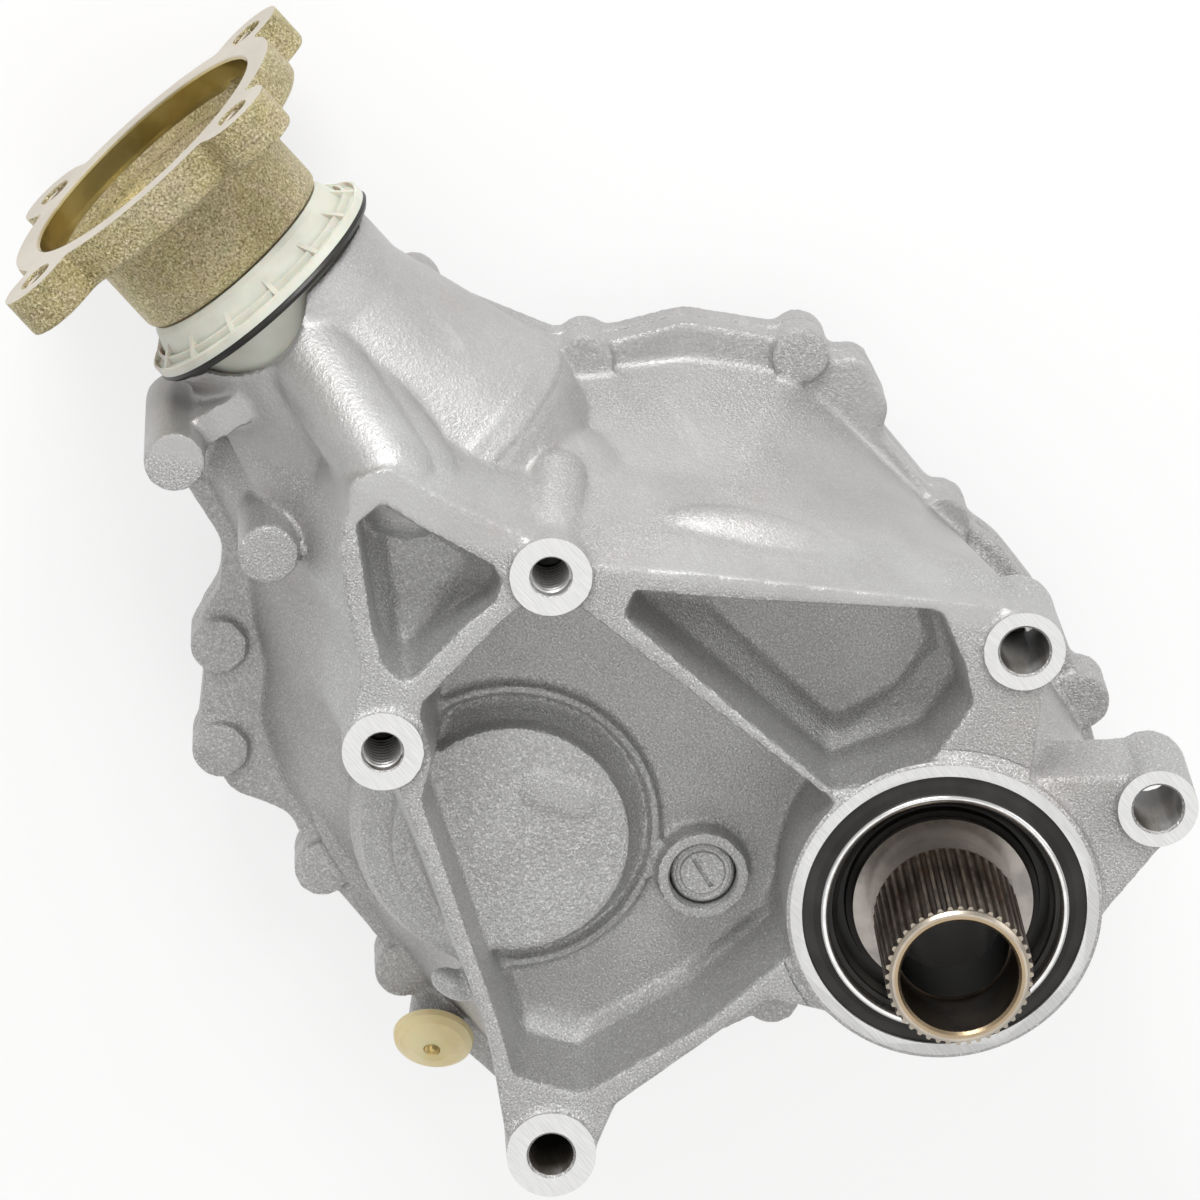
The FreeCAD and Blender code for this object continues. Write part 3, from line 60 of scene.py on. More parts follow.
# a node's output that can be written into sums
class Wire:
    def __init__(self, bench, socket):
        self.bench = bench
        self.socket = socket

    def maths(self, operation, *values):
        return self.bench.node("ShaderNodeMath", 0, {"operation": operation}, dict(enumerate(values)))

    def __add__(self, other):
        return self.maths("ADD", self, other)

    def __sub__(self, other):
        return self.maths("SUBTRACT", self, other)

    def __rsub__(self, other):
        return self.maths("SUBTRACT", other, self)

    def __mul__(self, other):
        return self.maths("MULTIPLY", self, other)

    def __truediv__(self, other):
        return self.maths("DIVIDE", self, other)

    __radd__ = __add__

    def larger(self, other):
        return self.maths("MAXIMUM", self, other)

    def sine(self):
        return self.maths("SINE", self)

    def cosine(self):
        return self.maths("COSINE", self)

    def root(self):
        return self.maths("SQRT", self)

    def step(self, low, high):  # 0 below low, 1 above high, smooth between
        return self.bench.node("ShaderNodeMapRange", 0, {"interpolation_type": "SMOOTHSTEP"},
                               {0: self, 1: low, 2: high, 3: 0.0, 4: 1.0})


# a node tree whose nodes all come from one method
class Bench:
    def node(self, kind, output=0, settings=None, values=None):
        made = self.tree.nodes.new(kind)
        for key, value in (settings or {}).items():
            if key == "stops":
                ramp = made.color_ramp
                while len(ramp.elements) < len(value):
                    ramp.elements.new(0.5)
                for element, (share, colour) in zip(ramp.elements, value):
                    element.position = share
                    element.color = colour
            else:
                setattr(made, key, value)
        for key, value in (values or {}).items():
            if isinstance(value, Wire):
                self.tree.links.new(value.socket, made.inputs[key])
            else:
                made.inputs[key].default_value = value
        return Wire(self, made.outputs[output]) if len(made.outputs) else None

    def other(self, wire, output):  # another output of the same node
        return Wire(self, wire.socket.node.outputs[output])


class Paint(Bench):
    def __init__(self, name):
        self.material = bpy.data.materials.new(name)
        self.material.use_nodes = True
        self.tree = self.material.node_tree
        self.tree.nodes.clear()
        self.coords = self.node("ShaderNodeTexCoord", "Object")
        self.x = self.node("ShaderNodeSeparateXYZ", "X", {}, {"Vector": self.coords})
        self.y = self.other(self.x, "Y")
        self.z = self.other(self.x, "Z")

    def noise(self, scale, detail=3.0, rough=0.5, vector=None):
        return self.node("ShaderNodeTexNoise", "Fac", {},
                         {"Vector": vector or self.coords, "Scale": scale, "Detail": detail, "Roughness": rough})

    def cells(self, scale):
        return self.node("ShaderNodeTexVoronoi", "Distance", {"feature": "F1"},
                         {"Vector": self.coords, "Scale": scale})

    def stretched(self, scale, turn=0.0):
        return self.node("ShaderNodeMapping", 0, {}, {"Vector": self.coords, "Rotation": (0.0, 0.0, turn),
                                                      "Scale": scale})

    def mix(self, share, first, second):
        return self.node("ShaderNodeMix", 2, {"data_type": "RGBA"}, {0: share, 6: first, 7: second})

    def ramp(self, share, stops):
        return self.node("ShaderNodeValToRGB", "Color", {"stops": stops}, {"Fac": share})

    def bump(self, height, strength, distance, normal=None):
        values = {"Height": height, "Strength": strength, "Distance": distance}
        if normal:
            values["Normal"] = normal
        return self.node("ShaderNodeBump", "Normal", {}, values)

    def finish(self, values):
        shader = self.node("ShaderNodeBsdfPrincipled", "BSDF", {}, values)
        self.node("ShaderNodeOutputMaterial", 0, {}, {"Surface": shader})
        return self.material


# a Geometry Nodes tree with named inputs, and the plain mesh that it gives
class Recipe(Bench):
    kinds = {float: "NodeSocketFloat", int: "NodeSocketInt", bpy.types.Material: "NodeSocketMaterial"}

    def __init__(self, name, inputs):
        self.tree = bpy.data.node_groups.new(name, "GeometryNodeTree")
        self.tree.interface.new_socket(name="Geometry", in_out="OUTPUT", socket_type="NodeSocketGeometry")
        self.keys = {}
        for label, value in inputs.items():
            made = self.tree.interface.new_socket(name=label, in_out="INPUT", socket_type=self.kinds[type(value)])
            self.keys[label] = made.identifier
        self.inputs = inputs
        self.start = self.tree.nodes.new("NodeGroupInput")

    def given(self, label):
        return Wire(self, self.start.outputs[label])

    def close(self, geometry, finish):
        solid = self.node("GeometryNodeRealizeInstances", 0, {}, {0: geometry})
        dressed = self.node("GeometryNodeSetMaterial", 0, {}, {"Geometry": solid, "Material": finish})
        self.node("NodeGroupOutput", 0, {}, {0: dressed})

    def make(self, name, **changes):
        made = meshObject(name, bpy.data.meshes.new(name))
        tool = made.modifiers.new("recipe", "NODES")
        tool.node_group = self.tree
        for label, value in {**self.inputs, **changes}.items():
            tool[self.keys[label]] = value
        settle(made)
        pointOut(made)
        return made


def grey(level, warm=0.0):
    return (level * (1 + warm), level, level * (1 - warm), 1.0)


# the darker colour lower down is painted shade, and the bright grain colour is partly painted sparkle
castLook = {"grain": 1500.0, "coarse": 700.0, "cloud": 20.0, "stain": 9.0, "grainDepth": 0.0006,
            "dark": 0.24, "bright": 0.95, "darkShare": 0.46, "brightShare": 0.75, "metallic": 0.80,
            "stainTone": (0.52, 0.465, 0.45, 1), "deepTone": (0.36, 0.335, 0.325, 1), "deepShare": 0.18,
            "deepFrom": -34 * mm, "deepTo": -58 * mm, "pits": 210.0, "pitTone": grey(0.16),
            "wallTurn": 0.68, "wallSlope": 0.8, "wallStart": 48 * mm, "wallOff": 73 * mm}


# blasted sand casting: sparkly grain whose brightest specks are painted sparkle highlights, cloudy tone, a smoother
# skin on the long side wall, and painted shade that darkens it lower down
def castAluminium():
    p = Paint("castAluminium")
    cloud = p.noise(castLook["cloud"], 5.0, 0.6)
    stain = p.noise(castLook["stain"], 4.0, 0.55)
    grain = p.noise(castLook["grain"], 2.0, 0.7)
    coarse = p.noise(castLook["coarse"], 2.0, 0.6)
    outside = (p.x - castLook["wallStart"]) * castLook["wallSlope"] - castLook["wallOff"] - p.y
    skin = outside.step(2 * mm, 10 * mm) * p.noise(14.0, 3.0).step(0.30, 0.50)
    rough = 1 - skin * 0.72
    tone = p.mix(cloud.step(0.30, 0.72), grey(0.46, 0.008), grey(0.56, 0.0))
    tone = p.mix(stain.step(0.50, 0.74) * 0.45, tone, castLook["stainTone"])
    tone = p.mix((1 - grain).step(0.46, 0.66) * rough * castLook["darkShare"], tone, grey(castLook["dark"]))
    # the brightest grain specks are real grain partly painted as sparkle highlights
    tone = p.mix(grain.step(0.52, 0.72) * rough * castLook["brightShare"], tone, grey(castLook["bright"]))
    tone = p.mix(coarse.step(0.55, 0.75) * rough * 0.25, tone, grey(0.80))
    # painted shade: darker lower down, in the pockets and on the lower walls
    paintedShade = 1 - p.z.step(castLook["deepTo"], castLook["deepFrom"])
    tone = p.mix(paintedShade * castLook["deepShare"], tone, castLook["deepTone"])
    pits = 1 - p.cells(castLook["pits"]).step(0.0, 0.10)
    tone = p.mix(pits * p.noise(60.0).step(0.54, 0.62) * 0.7, tone, castLook["pitTone"])
    scratches = p.noise(30.0, 3.0, 0.6, p.stretched((1.0, 6.0, 1.0), castLook["wallTurn"]))
    tone = p.mix(scratches.step(0.60, 0.72) * skin * 0.35, tone, grey(0.62))
    normal = p.bump(coarse, 0.45, castLook["grainDepth"])
    normal = p.bump(grain * rough + cloud * 0.2, 0.8, castLook["grainDepth"], normal)
    return p.finish({"Base Color": tone, "Metallic": castLook["metallic"],
                     "Roughness": 0.40 + skin * 0.04 + grain * 0.16, "Normal": normal})


flyCut = {"lines": 120.0, "stretch": 30.0, "turn": 0.9, "dull": grey(0.62), "clean": grey(0.76),
          "smear": 40.0, "smearTone": grey(0.5), "smearShare": 0.25, "metallic": 0.55}


# fly-cut aluminium: fine straight lines, bright and clean
def machinedAluminium():
    p = Paint("machinedAluminium")
    lines = p.noise(flyCut["lines"], 3.0, 0.6, p.stretched((1.0, flyCut["stretch"], 1.0), flyCut["turn"]))
    smear = p.noise(flyCut["smear"], 3.0)
    tone = p.mix(lines.step(0.35, 0.65), flyCut["dull"], flyCut["clean"])
    tone = p.mix(smear.step(0.6, 0.75) * flyCut["smearShare"], tone, flyCut["smearTone"])
    return p.finish({"Base Color": tone, "Metallic": flyCut["metallic"], "Roughness": 0.30 + lines * 0.2,
                     "Normal": p.bump(lines, 0.2, 0.0001)})


# the dark tone further down the holes is painted shade
boreLook = {"streaks": 90.0, "tones": [(0.36, (0.20, 0.175, 0.15, 1)), (0.48, (0.36, 0.325, 0.29, 1)),
                                       (0.58, grey(0.55)), (0.70, grey(0.9))],
            "deepFrom": -12 * mm, "deepTo": -28 * mm, "deepTone": grey(0.02), "deepShare": 0.85}


# drilled and tapped walls, oily and dull with brown streaks, and painted shade that makes them dark further down
def boredAluminium():
    p = Paint("boredAluminium")
    streaks = p.noise(boreLook["streaks"], 4.0, 0.6, p.stretched((1.0, 1.0, 0.25)))
    tone = p.ramp(streaks, boreLook["tones"])
    # painted shade: near black further down the holes
    paintedShade = 1 - p.z.step(boreLook["deepTo"], boreLook["deepFrom"])
    tone = p.mix(paintedShade * boreLook["deepShare"], tone, boreLook["deepTone"])
    return p.finish({"Base Color": tone, "Metallic": 0.7, "Roughness": 0.36 + streaks * 0.15,
                     "Normal": p.bump(streaks, 0.3, 0.0002)})


# the brightest grain colour is a painted glint, the shadow colour painted shade
zinc = {"patch": 40.0, "grain": 1250.0, "tint": 170.0, "lumps": 620.0, "grainDepth": 0.001, "lumpDepth": 0.0014,
        "tones": [(0.30, (0.42, 0.35, 0.17, 1)), (0.46, (0.58, 0.50, 0.26, 1)),
                  (0.56, (0.62, 0.53, 0.33, 1)), (0.70, (0.50, 0.45, 0.25, 1))],
        "pink": (0.56, 0.43, 0.32, 1), "olive": (0.36, 0.345, 0.19, 1), "spark": (1.0, 0.95, 0.72, 1),
        "shadow": (0.15, 0.12, 0.05, 1)}


# yellow chromate over a rough forging: gold, olive and pinkish flecks, with painted glints and painted shadow on the
# grain
def yellowZinc():
    p = Paint("yellowZinc")
    patch = p.noise(zinc["patch"], 5.0, 0.65)
    grain = p.noise(zinc["grain"], 3.0, 0.7)
    tint = p.noise(zinc["tint"], 4.0, 0.65)
    tone = p.ramp(patch, zinc["tones"])
    tone = p.mix(tint.step(0.48, 0.70) * 0.5, tone, zinc["pink"])
    tone = p.mix((1 - tint).step(0.52, 0.72) * 0.45, tone, zinc["olive"])
    # painted glints on the brightest grain specks
    tone = p.mix(grain.step(0.52, 0.68) * 0.75, tone, zinc["spark"])
    tone = p.mix((1 - grain).step(0.50, 0.64) * 0.7, tone, zinc["shadow"])
    normal = p.bump(p.noise(zinc["lumps"], 3.0, 0.7), 1.0, zinc["lumpDepth"])
    normal = p.bump(grain, 1.0, zinc["grainDepth"], normal)
    return p.finish({"Base Color": tone, "Metallic": 0.85, "Roughness": 0.26 + grain * 0.2, "Normal": normal})


zincTurnedLook = {"y": 40 * mm, "z": -85 * mm, "rings": 9000.0, "blotch": 45.0, "boreFrom": 43.2 * mm,
                  "boreTo": 44.0 * mm, "face": ((0.56, 0.50, 0.41, 1), (0.64, 0.58, 0.49, 1)),
                  "bore": ((0.40, 0.31, 0.12, 1), (0.52, 0.44, 0.22, 1))}


# the flange's turned face and bore, with a thin golden film
def yellowZincTurned():
    p = Paint("yellowZincTurned")
    look = zincTurnedLook
    y = p.y - look["y"]
    z = p.z - look["z"]
    radius = (y * y + z * z).root()
    rings = (radius * look["rings"]).sine() * 0.5 + 0.5
    blotch = p.noise(look["blotch"], 4.0, 0.6)
    inside = 1 - radius.step(look["boreFrom"], look["boreTo"])
    face = p.mix(blotch.step(0.35, 0.65), *look["face"])
    bore = p.mix(blotch.step(0.38, 0.62), *look["bore"])
    tone = p.mix(inside, face, bore)
    return p.finish({"Base Color": tone, "Metallic": 0.75 + inside * 0.25,
                     "Roughness": 0.26 - inside * 0.10 + blotch * 0.12,
                     "Normal": p.bump(rings + p.noise(400.0) * 0.6, 0.12, 0.00012)})


metalLook = {"marks": 300.0, "smear": 38.0, "markShare": 0.6, "smearShare": 0.4, "smearRough": 0.14,
             "markDepth": 0.0001}


# steel or brass with fine tool marks and faint smears
def plainMetal(name, low, high, roughness, bump=0.15):
    p = Paint(name)
    look = metalLook
    marks = p.noise(look["marks"], 3.0, 0.6, p.stretched((1.0, 1.0, 6.0)))
    smear = p.noise(look["smear"], 4.0, 0.6)
    share = marks.step(0.35, 0.65) * look["markShare"] + smear.step(0.4, 0.7) * look["smearShare"]
    return p.finish({"Base Color": p.mix(share, low, high), "Metallic": 1.0,
                     "Roughness": roughness + smear * look["smearRough"],
                     "Normal": p.bump(marks, bump, look["markDepth"])})


# radii and heights are where one surface of the shaft passes into the next
spline = {"film": 70.0, "fine": 700.0, "rust": 120.0, "crest": (22.25 * mm, 22.45 * mm),
          "end": (54.3 * mm, 54.6 * mm), "lip": (19.6 * mm, 20.2 * mm), "collar": (3.2 * mm, 3.8 * mm),
          "bore": (17.4 * mm, 17.8 * mm),
          "flanks": ((0.060, 0.045, 0.034, 1), (0.13, 0.10, 0.075, 1)), "crestTone": (0.40, 0.33, 0.26, 1),
          "rustTone": (0.20, 0.085, 0.035, 1), "endTones": ((0.50, 0.44, 0.36, 1), (0.40, 0.36, 0.31, 1)),
          "lipTone": (0.34, 0.235, 0.12, 1), "boreTone": (0.025, 0.021, 0.018, 1),
          "collarTones": ((0.34, 0.31, 0.285, 1), (0.22, 0.205, 0.19, 1))}


# dark hardened spline, polished at the chamfered end, and its shoulder disc
def splineSteel():
    p = Paint("splineSteel")
    radius = (p.x * p.x + p.y * p.y).root()
    film = p.noise(spline["film"], 4.0, 0.6)
    fine = p.noise(spline["fine"], 3.0)
    dark = p.mix(film.step(0.35, 0.65), *spline["flanks"])
    crest = radius.step(*spline["crest"]) * p.noise(160.0, 3.0).step(0.35, 0.62)
    tone = p.mix(crest * 0.5, dark, spline["crestTone"])
    rust = p.noise(spline["rust"], 3.0, 0.6, p.stretched((1.0, 1.0, 0.2)))
    tone = p.mix(rust.step(0.60, 0.72) * 0.5, tone, spline["rustTone"])
    end = p.z.step(*spline["end"])
    tone = p.mix(end, tone, p.mix(film.step(0.4, 0.6), *spline["endTones"]))
    lip = end * (1 - radius.step(*spline["lip"]))
    tone = p.mix(lip * 0.7, tone, spline["lipTone"])
    collar = 1 - p.z.step(*spline["collar"])
    tone = p.mix(collar, tone, p.mix(film.step(0.35, 0.65), *spline["collarTones"]))
    inner = 1 - radius.step(*spline["bore"])
    tone = p.mix(inner * (1 - end), tone, spline["boreTone"])
    return p.finish({"Base Color": tone, "Metallic": 0.9, "Roughness": 0.30 - end * 0.06 - collar * 0.14
                     + fine * 0.08, "Normal": p.bump(fine, 0.15, 0.0001)})


# moulded plastic or rubber with a faint mould texture
def moulded(name, low, high, roughness, subsurface=0.0):
    p = Paint(name)
    cloud = p.noise(60.0, 4.0)
    fine = p.noise(900.0, 2.0)
    values = {"Base Color": p.mix(cloud.step(0.35, 0.68), low, high), "Roughness": roughness + fine * 0.12,
              "Normal": p.bump(fine, 0.12, 0.0001)}
    if not subsurface:
        values["Specular IOR Level"] = 0.3
    else:
        values["Subsurface Weight"] = subsurface
        values["Subsurface Scale"] = 0.004
    return p.finish(values)


finishes = {
    "cast_aluminium": castAluminium(),
    "fastener_steel": plainMetal("fastenerSteel", grey(0.34), grey(0.52), 0.30),
    "gear_steel": plainMetal("gearSteel", grey(0.22, 0.03), grey(0.36, 0.02), 0.30),
    "bearing_steel": plainMetal("bearingSteel", grey(0.50), grey(0.68), 0.16),
    "spline_steel": splineSteel(),
    "bright_steel": plainMetal("brightSteel", grey(0.66), grey(0.84), 0.16, bump=0.05),
    "yellow_zinc": yellowZinc(),
    "ivory_nylon": moulded("ivoryNylon", (0.58, 0.585, 0.51, 1), (0.68, 0.685, 0.61, 1), 0.36, 0.3),
    "yellow_nylon": moulded("yellowNylon", (0.72, 0.60, 0.30, 1), (0.82, 0.72, 0.44, 1), 0.24, 0.35),
    "black_rubber": moulded("blackRubber", (0.016, 0.015, 0.014, 1), (0.034, 0.031, 0.028, 1), 0.30),
    "brass": plainMetal("brass", (0.52, 0.38, 0.14, 1), (0.68, 0.52, 0.24, 1), 0.22),
}
machined = machinedAluminium()
bored = boredAluminium()
zincTurned = yellowZincTurned()
print("finishes made:", len(finishes) + 3)


def meshObject(name, mesh):
    made = bpy.data.objects.new(name, mesh)
    bpy.context.scene.collection.objects.link(made)
    return made


def buildMesh(name, vertices, faces):
    mesh = bpy.data.meshes.new(name)
    mesh.from_pydata([tuple(v) for v in vertices], [], faces)
    mesh.validate()
    return meshObject(name, mesh)


# places a shape made on the Z axis with its base at the origin
def turning(axis, centre):
    turn = Vector((0, 0, 1)).rotation_difference(Vector(axis)).to_matrix().to_4x4()
    return Matrix.Translation(Vector(centre)) @ turn


# a closed solid of revolution from (radius, height) pairs in millimetres, first and last on the axis
def roundTool(name, profile, centre, axis=(0, 0, 1), steps=96):
    matrix = turning(axis, Vector(centre) * mm)
    vertices = []
    faces = []
    rings = []
    for radius, height in profile:
        if radius == 0:
            rings.append([len(vertices)])
            vertices.append(matrix @ Vector((0, 0, height * mm)))
        else:
            rings.append(list(range(len(vertices), len(vertices) + steps)))
            for k in range(steps):
                a = 2 * math.pi * k / steps
                vertices.append(matrix @ Vector((radius * math.cos(a) * mm, radius * math.sin(a) * mm,
                                                 height * mm)))
    for low, high in zip(rings, rings[1:]):
        for k in range(steps):
            n = (k + 1) % steps
            if len(low) == 1:
                faces.append((low[0], high[n], high[k]))
            elif len(high) == 1:
                faces.append((low[k], low[n], high[0]))
            else:
                faces.append((low[k], low[n], high[n], high[k]))
    made = buildMesh(name, vertices, faces)
    pointOut(made)
    return made


def drum(name, radius, low, high, centre, axis=(0, 0, 1), steps=96):
    return roundTool(name, [(0, low), (radius, low), (radius, high), (0, high)], centre, axis, steps)


# a closed ring from a loop of (radius, height) pairs that never reaches the axis
def ringSolid(name, profile, centre, axis=(0, 0, 1), steps=128):
    matrix = turning(axis, Vector(centre) * mm)
    count = len(profile)
    vertices = []
    faces = []
    for k in range(steps):
        a = 2 * math.pi * k / steps
        for radius, height in profile:
            vertices.append(matrix @ Vector((radius * math.cos(a) * mm, radius * math.sin(a) * mm, height * mm)))
    for k in range(steps):
        n = (k + 1) % steps
        for i in range(count):
            j = (i + 1) % count
            faces.append((k * count + i, n * count + i, n * count + j, k * count + j))
    made = buildMesh(name, vertices, faces)
    pointOut(made)
    return made


def block(name, low, high):
    (ax, ay, az), (bx, by, bz) = [[v * mm for v in corner] for corner in (low, high)]
    vertices = [(ax, ay, az), (bx, ay, az), (bx, by, az), (ax, by, az),
                (ax, ay, bz), (bx, ay, bz), (bx, by, bz), (ax, by, bz)]
    faces = [(0, 3, 2, 1), (4, 5, 6, 7), (0, 1, 5, 4), (1, 2, 6, 5), (2, 3, 7, 6), (3, 0, 4, 7)]
    return buildMesh(name, vertices, faces)


# a pocket's cutter: its outline at each level is drawn in towards its middle by a share
def pocketTool(name, corners, levels):
    middle = sum((Vector(corner) for corner in corners), Vector((0, 0))) / len(corners)
    count = len(corners)
    vertices = []
    for height, share in levels:
        for corner in corners:
            x, y = middle + (Vector(corner) - middle) * share
            vertices.append((x * mm, y * mm, height * mm))
    faces = [tuple(range(count)), tuple(range(len(vertices) - count, len(vertices)))]
    for low in range(0, len(vertices) - count, count):
        faces += [(low + k, low + (k + 1) % count, low + count + (k + 1) % count, low + count + k)
                  for k in range(count)]
    made = buildMesh(name, vertices, faces)
    pointOut(made)
    return made


# turns every face's normal outward
def pointOut(made):
    bm = bmesh.new()
    bm.from_mesh(made.data)
    bmesh.ops.recalc_face_normals(bm, faces=bm.faces)
    bm.to_mesh(made.data)
    bm.free()


weldReach = 0.002 * mm


# a welded copy of a CAD node's mesh
def merged(name, node):
    mesh = frame["nodes"][node].data.copy()
    mesh.materials.clear()
    bm = bmesh.new()
    bm.from_mesh(mesh)
    bmesh.ops.remove_doubles(bm, verts=bm.verts, dist=weldReach)
    bm.to_mesh(mesh)
    bm.free()
    return meshObject(name, mesh)


def joinInto(target, others):
    bm = bmesh.new()
    bm.from_mesh(target.data)
    for other in others:
        bm.from_mesh(other.data)
        bpy.data.objects.remove(other)
    bm.to_mesh(target.data)
    bm.free()


# applies what modifiers an object has and leaves a plain mesh
def settle(made):
    graph = bpy.context.evaluated_depsgraph_get()
    mesh = bpy.data.meshes.new_from_object(made.evaluated_get(graph), depsgraph=graph)
    made.modifiers.clear()
    old = made.data
    made.data = mesh
    bpy.data.meshes.remove(old)


# rounds every edge as a sand casting's are
def cast(made, voxel, passes, ratio):
    remesh = made.modifiers.new("remesh", "REMESH")
    remesh.mode = "VOXEL"
    remesh.voxel_size = voxel * mm
    smooth = made.modifiers.new("smooth", "SMOOTH")
    smooth.factor = 0.5
    smooth.iterations = passes
    thin = made.modifiers.new("thin", "DECIMATE")
    thin.ratio = ratio
    settle(made)


# cuts a shape with tools and removes the tools
def machine(made, cutters):
    for cutter in cutters:
        cut = made.modifiers.new("cut", "BOOLEAN")
        cut.operation = "DIFFERENCE"
        cut.solver = "MANIFOLD"
        cut.object = cutter
    settle(made)
    for cutter in cutters:
        bpy.data.objects.remove(cutter)


def shade(made, angle=32):
    for polygon in made.data.polygons:
        polygon.use_smooth = True
    made.data.set_sharp_from_angle(angle=math.radians(angle))


# gives each face the finish whose number the test returns for the face's middle
def dressParts(made, materials, test):
    made.data.materials.clear()
    for material in materials:
        made.data.materials.append(material)
    centres = np.empty(len(made.data.polygons) * 3)
    made.data.polygons.foreach_get("center", centres)
    chosen = test(centres.reshape(-1, 3) / mm)
    made.data.polygons.foreach_set("material_index", chosen.astype(np.int32))
    made.data.update()


# tells the frame what body a piece rides on, and what solids it stands for
def place(made, body, slotName, *nodes):
    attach(made, body)
    if nodes:
        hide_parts(*nodes)
    print("placed", made.name, len(made.data.polygons), "faces")


# a rounded bar through a row of places, for ledges and ridges of the casting
def rounded(name, places, radius):
    parts = []
    for spot in places:
        parts.append(egg(name, spot, (radius, radius, radius)))
    for first, second in zip(places, places[1:]):
        along = Vector(second) - Vector(first)
        parts.append(drum(name, radius, 0, along.length, first, along, 32))
    joinInto(parts[0], parts[1:])
    return parts[0]


# a ball stretched to a reach along each axis, its long axis turned to one direction
def egg(name, centre, reach, along=(1, 0, 0)):
    bm = bmesh.new()
    bmesh.ops.create_icosphere(bm, subdivisions=4, radius=1.0)
    turn = Vector((1, 0, 0)).rotation_difference(Vector(along)).to_matrix().to_4x4()
    bm.transform(Matrix.Translation(Vector(centre) * mm) @ turn @ Matrix.Diagonal([v * mm for v in reach] + [1]))
    mesh = bpy.data.meshes.new(name)
    bm.to_mesh(mesh)
    bm.free()
    return meshObject(name, mesh)


# sizes and places that the part's own record gives, in millimetres
mounts = {mount["name"]: mount for mount in frame["record"]["mounts"]}


def spotOf(name):
    return [v / mm for v in mounts[name]["pos_m"]]


def sizeOf(name, key):
    return mounts[name]["dims"][key]


# main casting: stock is added for what is machined, the whole is rounded as a casting, then cut
case = {"bossRadius": 12.5, "footRadius": 14.0, "stockTop": 3.0, "stockLow": -34.0, "bossTip": 9.0,
        "shaftTop": -13.0, "shaftLow": -46.0, "shaftOut": 2.0, "shaftSunk": 2.0, "shaftRadius": 10.0,
        "ringRadius": 49.0, "ringLow": -22.0, "ringBore": 44.2, "ringDepth": 24.0, "idler": (47.989, 55.010),
        "idlerRadius": 14.2, "idlerBore": 10.6, "idlerLow": -40.0, "idlerFloor": -60.0, "idlerTop": -32.0,
        "idlerChamfer": 1.0, "neckEnd": 268.0, "neckBore": 35.0, "neckFloor": 232.0, "over": 4.0,
        "voxel": 1.15, "passes": 4, "keep": 0.29}
# tapped holes are cut to the root of their thread, and end in a drill's point
drilled = {"threadRoot": 0.6, "tappedChamfer": 0.5, "plainChamfer": 0.8, "point": 3.0, "steps": 64}
# the machined edge round the ring: how far inside the stock it starts, its width and its fall
ringEdge = {"inside": 1.5, "width": 5.0, "above": 0.2, "fall": 2.6}
# the long swelling on the side wall: its two ends, half depth, half height, and how far it stands out
swell = {"ends": ((148.0, -8.0, -33.0), (99.0, -46.0, -33.0)), "depth": 12.0, "height": 11.0, "proud": 6.0}
# pocket outlines between the ribs, and their levels: height, share of the outline
sidePocket = [(143, 4), (72.5, -61.5), (56.5, -56.5), (45, -50), (39.5, -29.5), (52, 1), (139, 12)]
neckPocket = [(215, 53), (214.5, 43.5), (177, 30.5), (171, 32), (167.5, 38), (169.5, 71), (174, 76.5), (185, 72.5)]
sideLevels = [(2, 1.0), (-31, 0.92), (-42, 0.56)]
neckLevels = [(2, 1.0), (-20, 0.93), (-29, 0.55)]
# filling that blends the neck into the wall, and the neck's ridge into its flanks
blend = {"spot": (184.0, -8.0, -70.0), "reach": (36.0, 22.0, 34.0), "proud": 3.0}
noseProfile = [(0, 146), (26, 152), (41, 162), (50, 175), (54, 190), (53.5, 200), (48, 210), (0, 210)]
flank = {"radius": 17.0, "places": [(208, 38, -27), (240, 38, -60)]}
# rounded steps along the feet of two pockets' walls, and the small lump beside the dome
ledge = {"radius": 8.0, "places": [(172, 34, -34), (169, 44, -33), (168, 60, -33), (167, 71, -33), (169, 78, -34)]}
ridge = {"radius": 10.5, "places": [(39, 131, -47), (25, 122, -47), (20, 105, -47), (16, 76, -47), (14, 56, -47)]}
lump = {"spot": (70, 139, -41), "reach": (8.0, 4.5, 6.0), "along": (0.9, 0.35, 0)}
tapped = ("thread_one", "thread_two")
plain = ("hole_three", "hole_four", "hole_five")
wallOut = Vector((0.628, -0.778, 0.0))  # away from the long side wall
wallAlong = Vector((-0.778, -0.628, 0.0))


# where a line from outside meets the casting
def wallAt(tree, spot, outward):
    start = Vector(spot) * mm + Vector(outward) * 0.2
    hit = tree.ray_cast(start, -Vector(outward))[0]
    return hit / mm


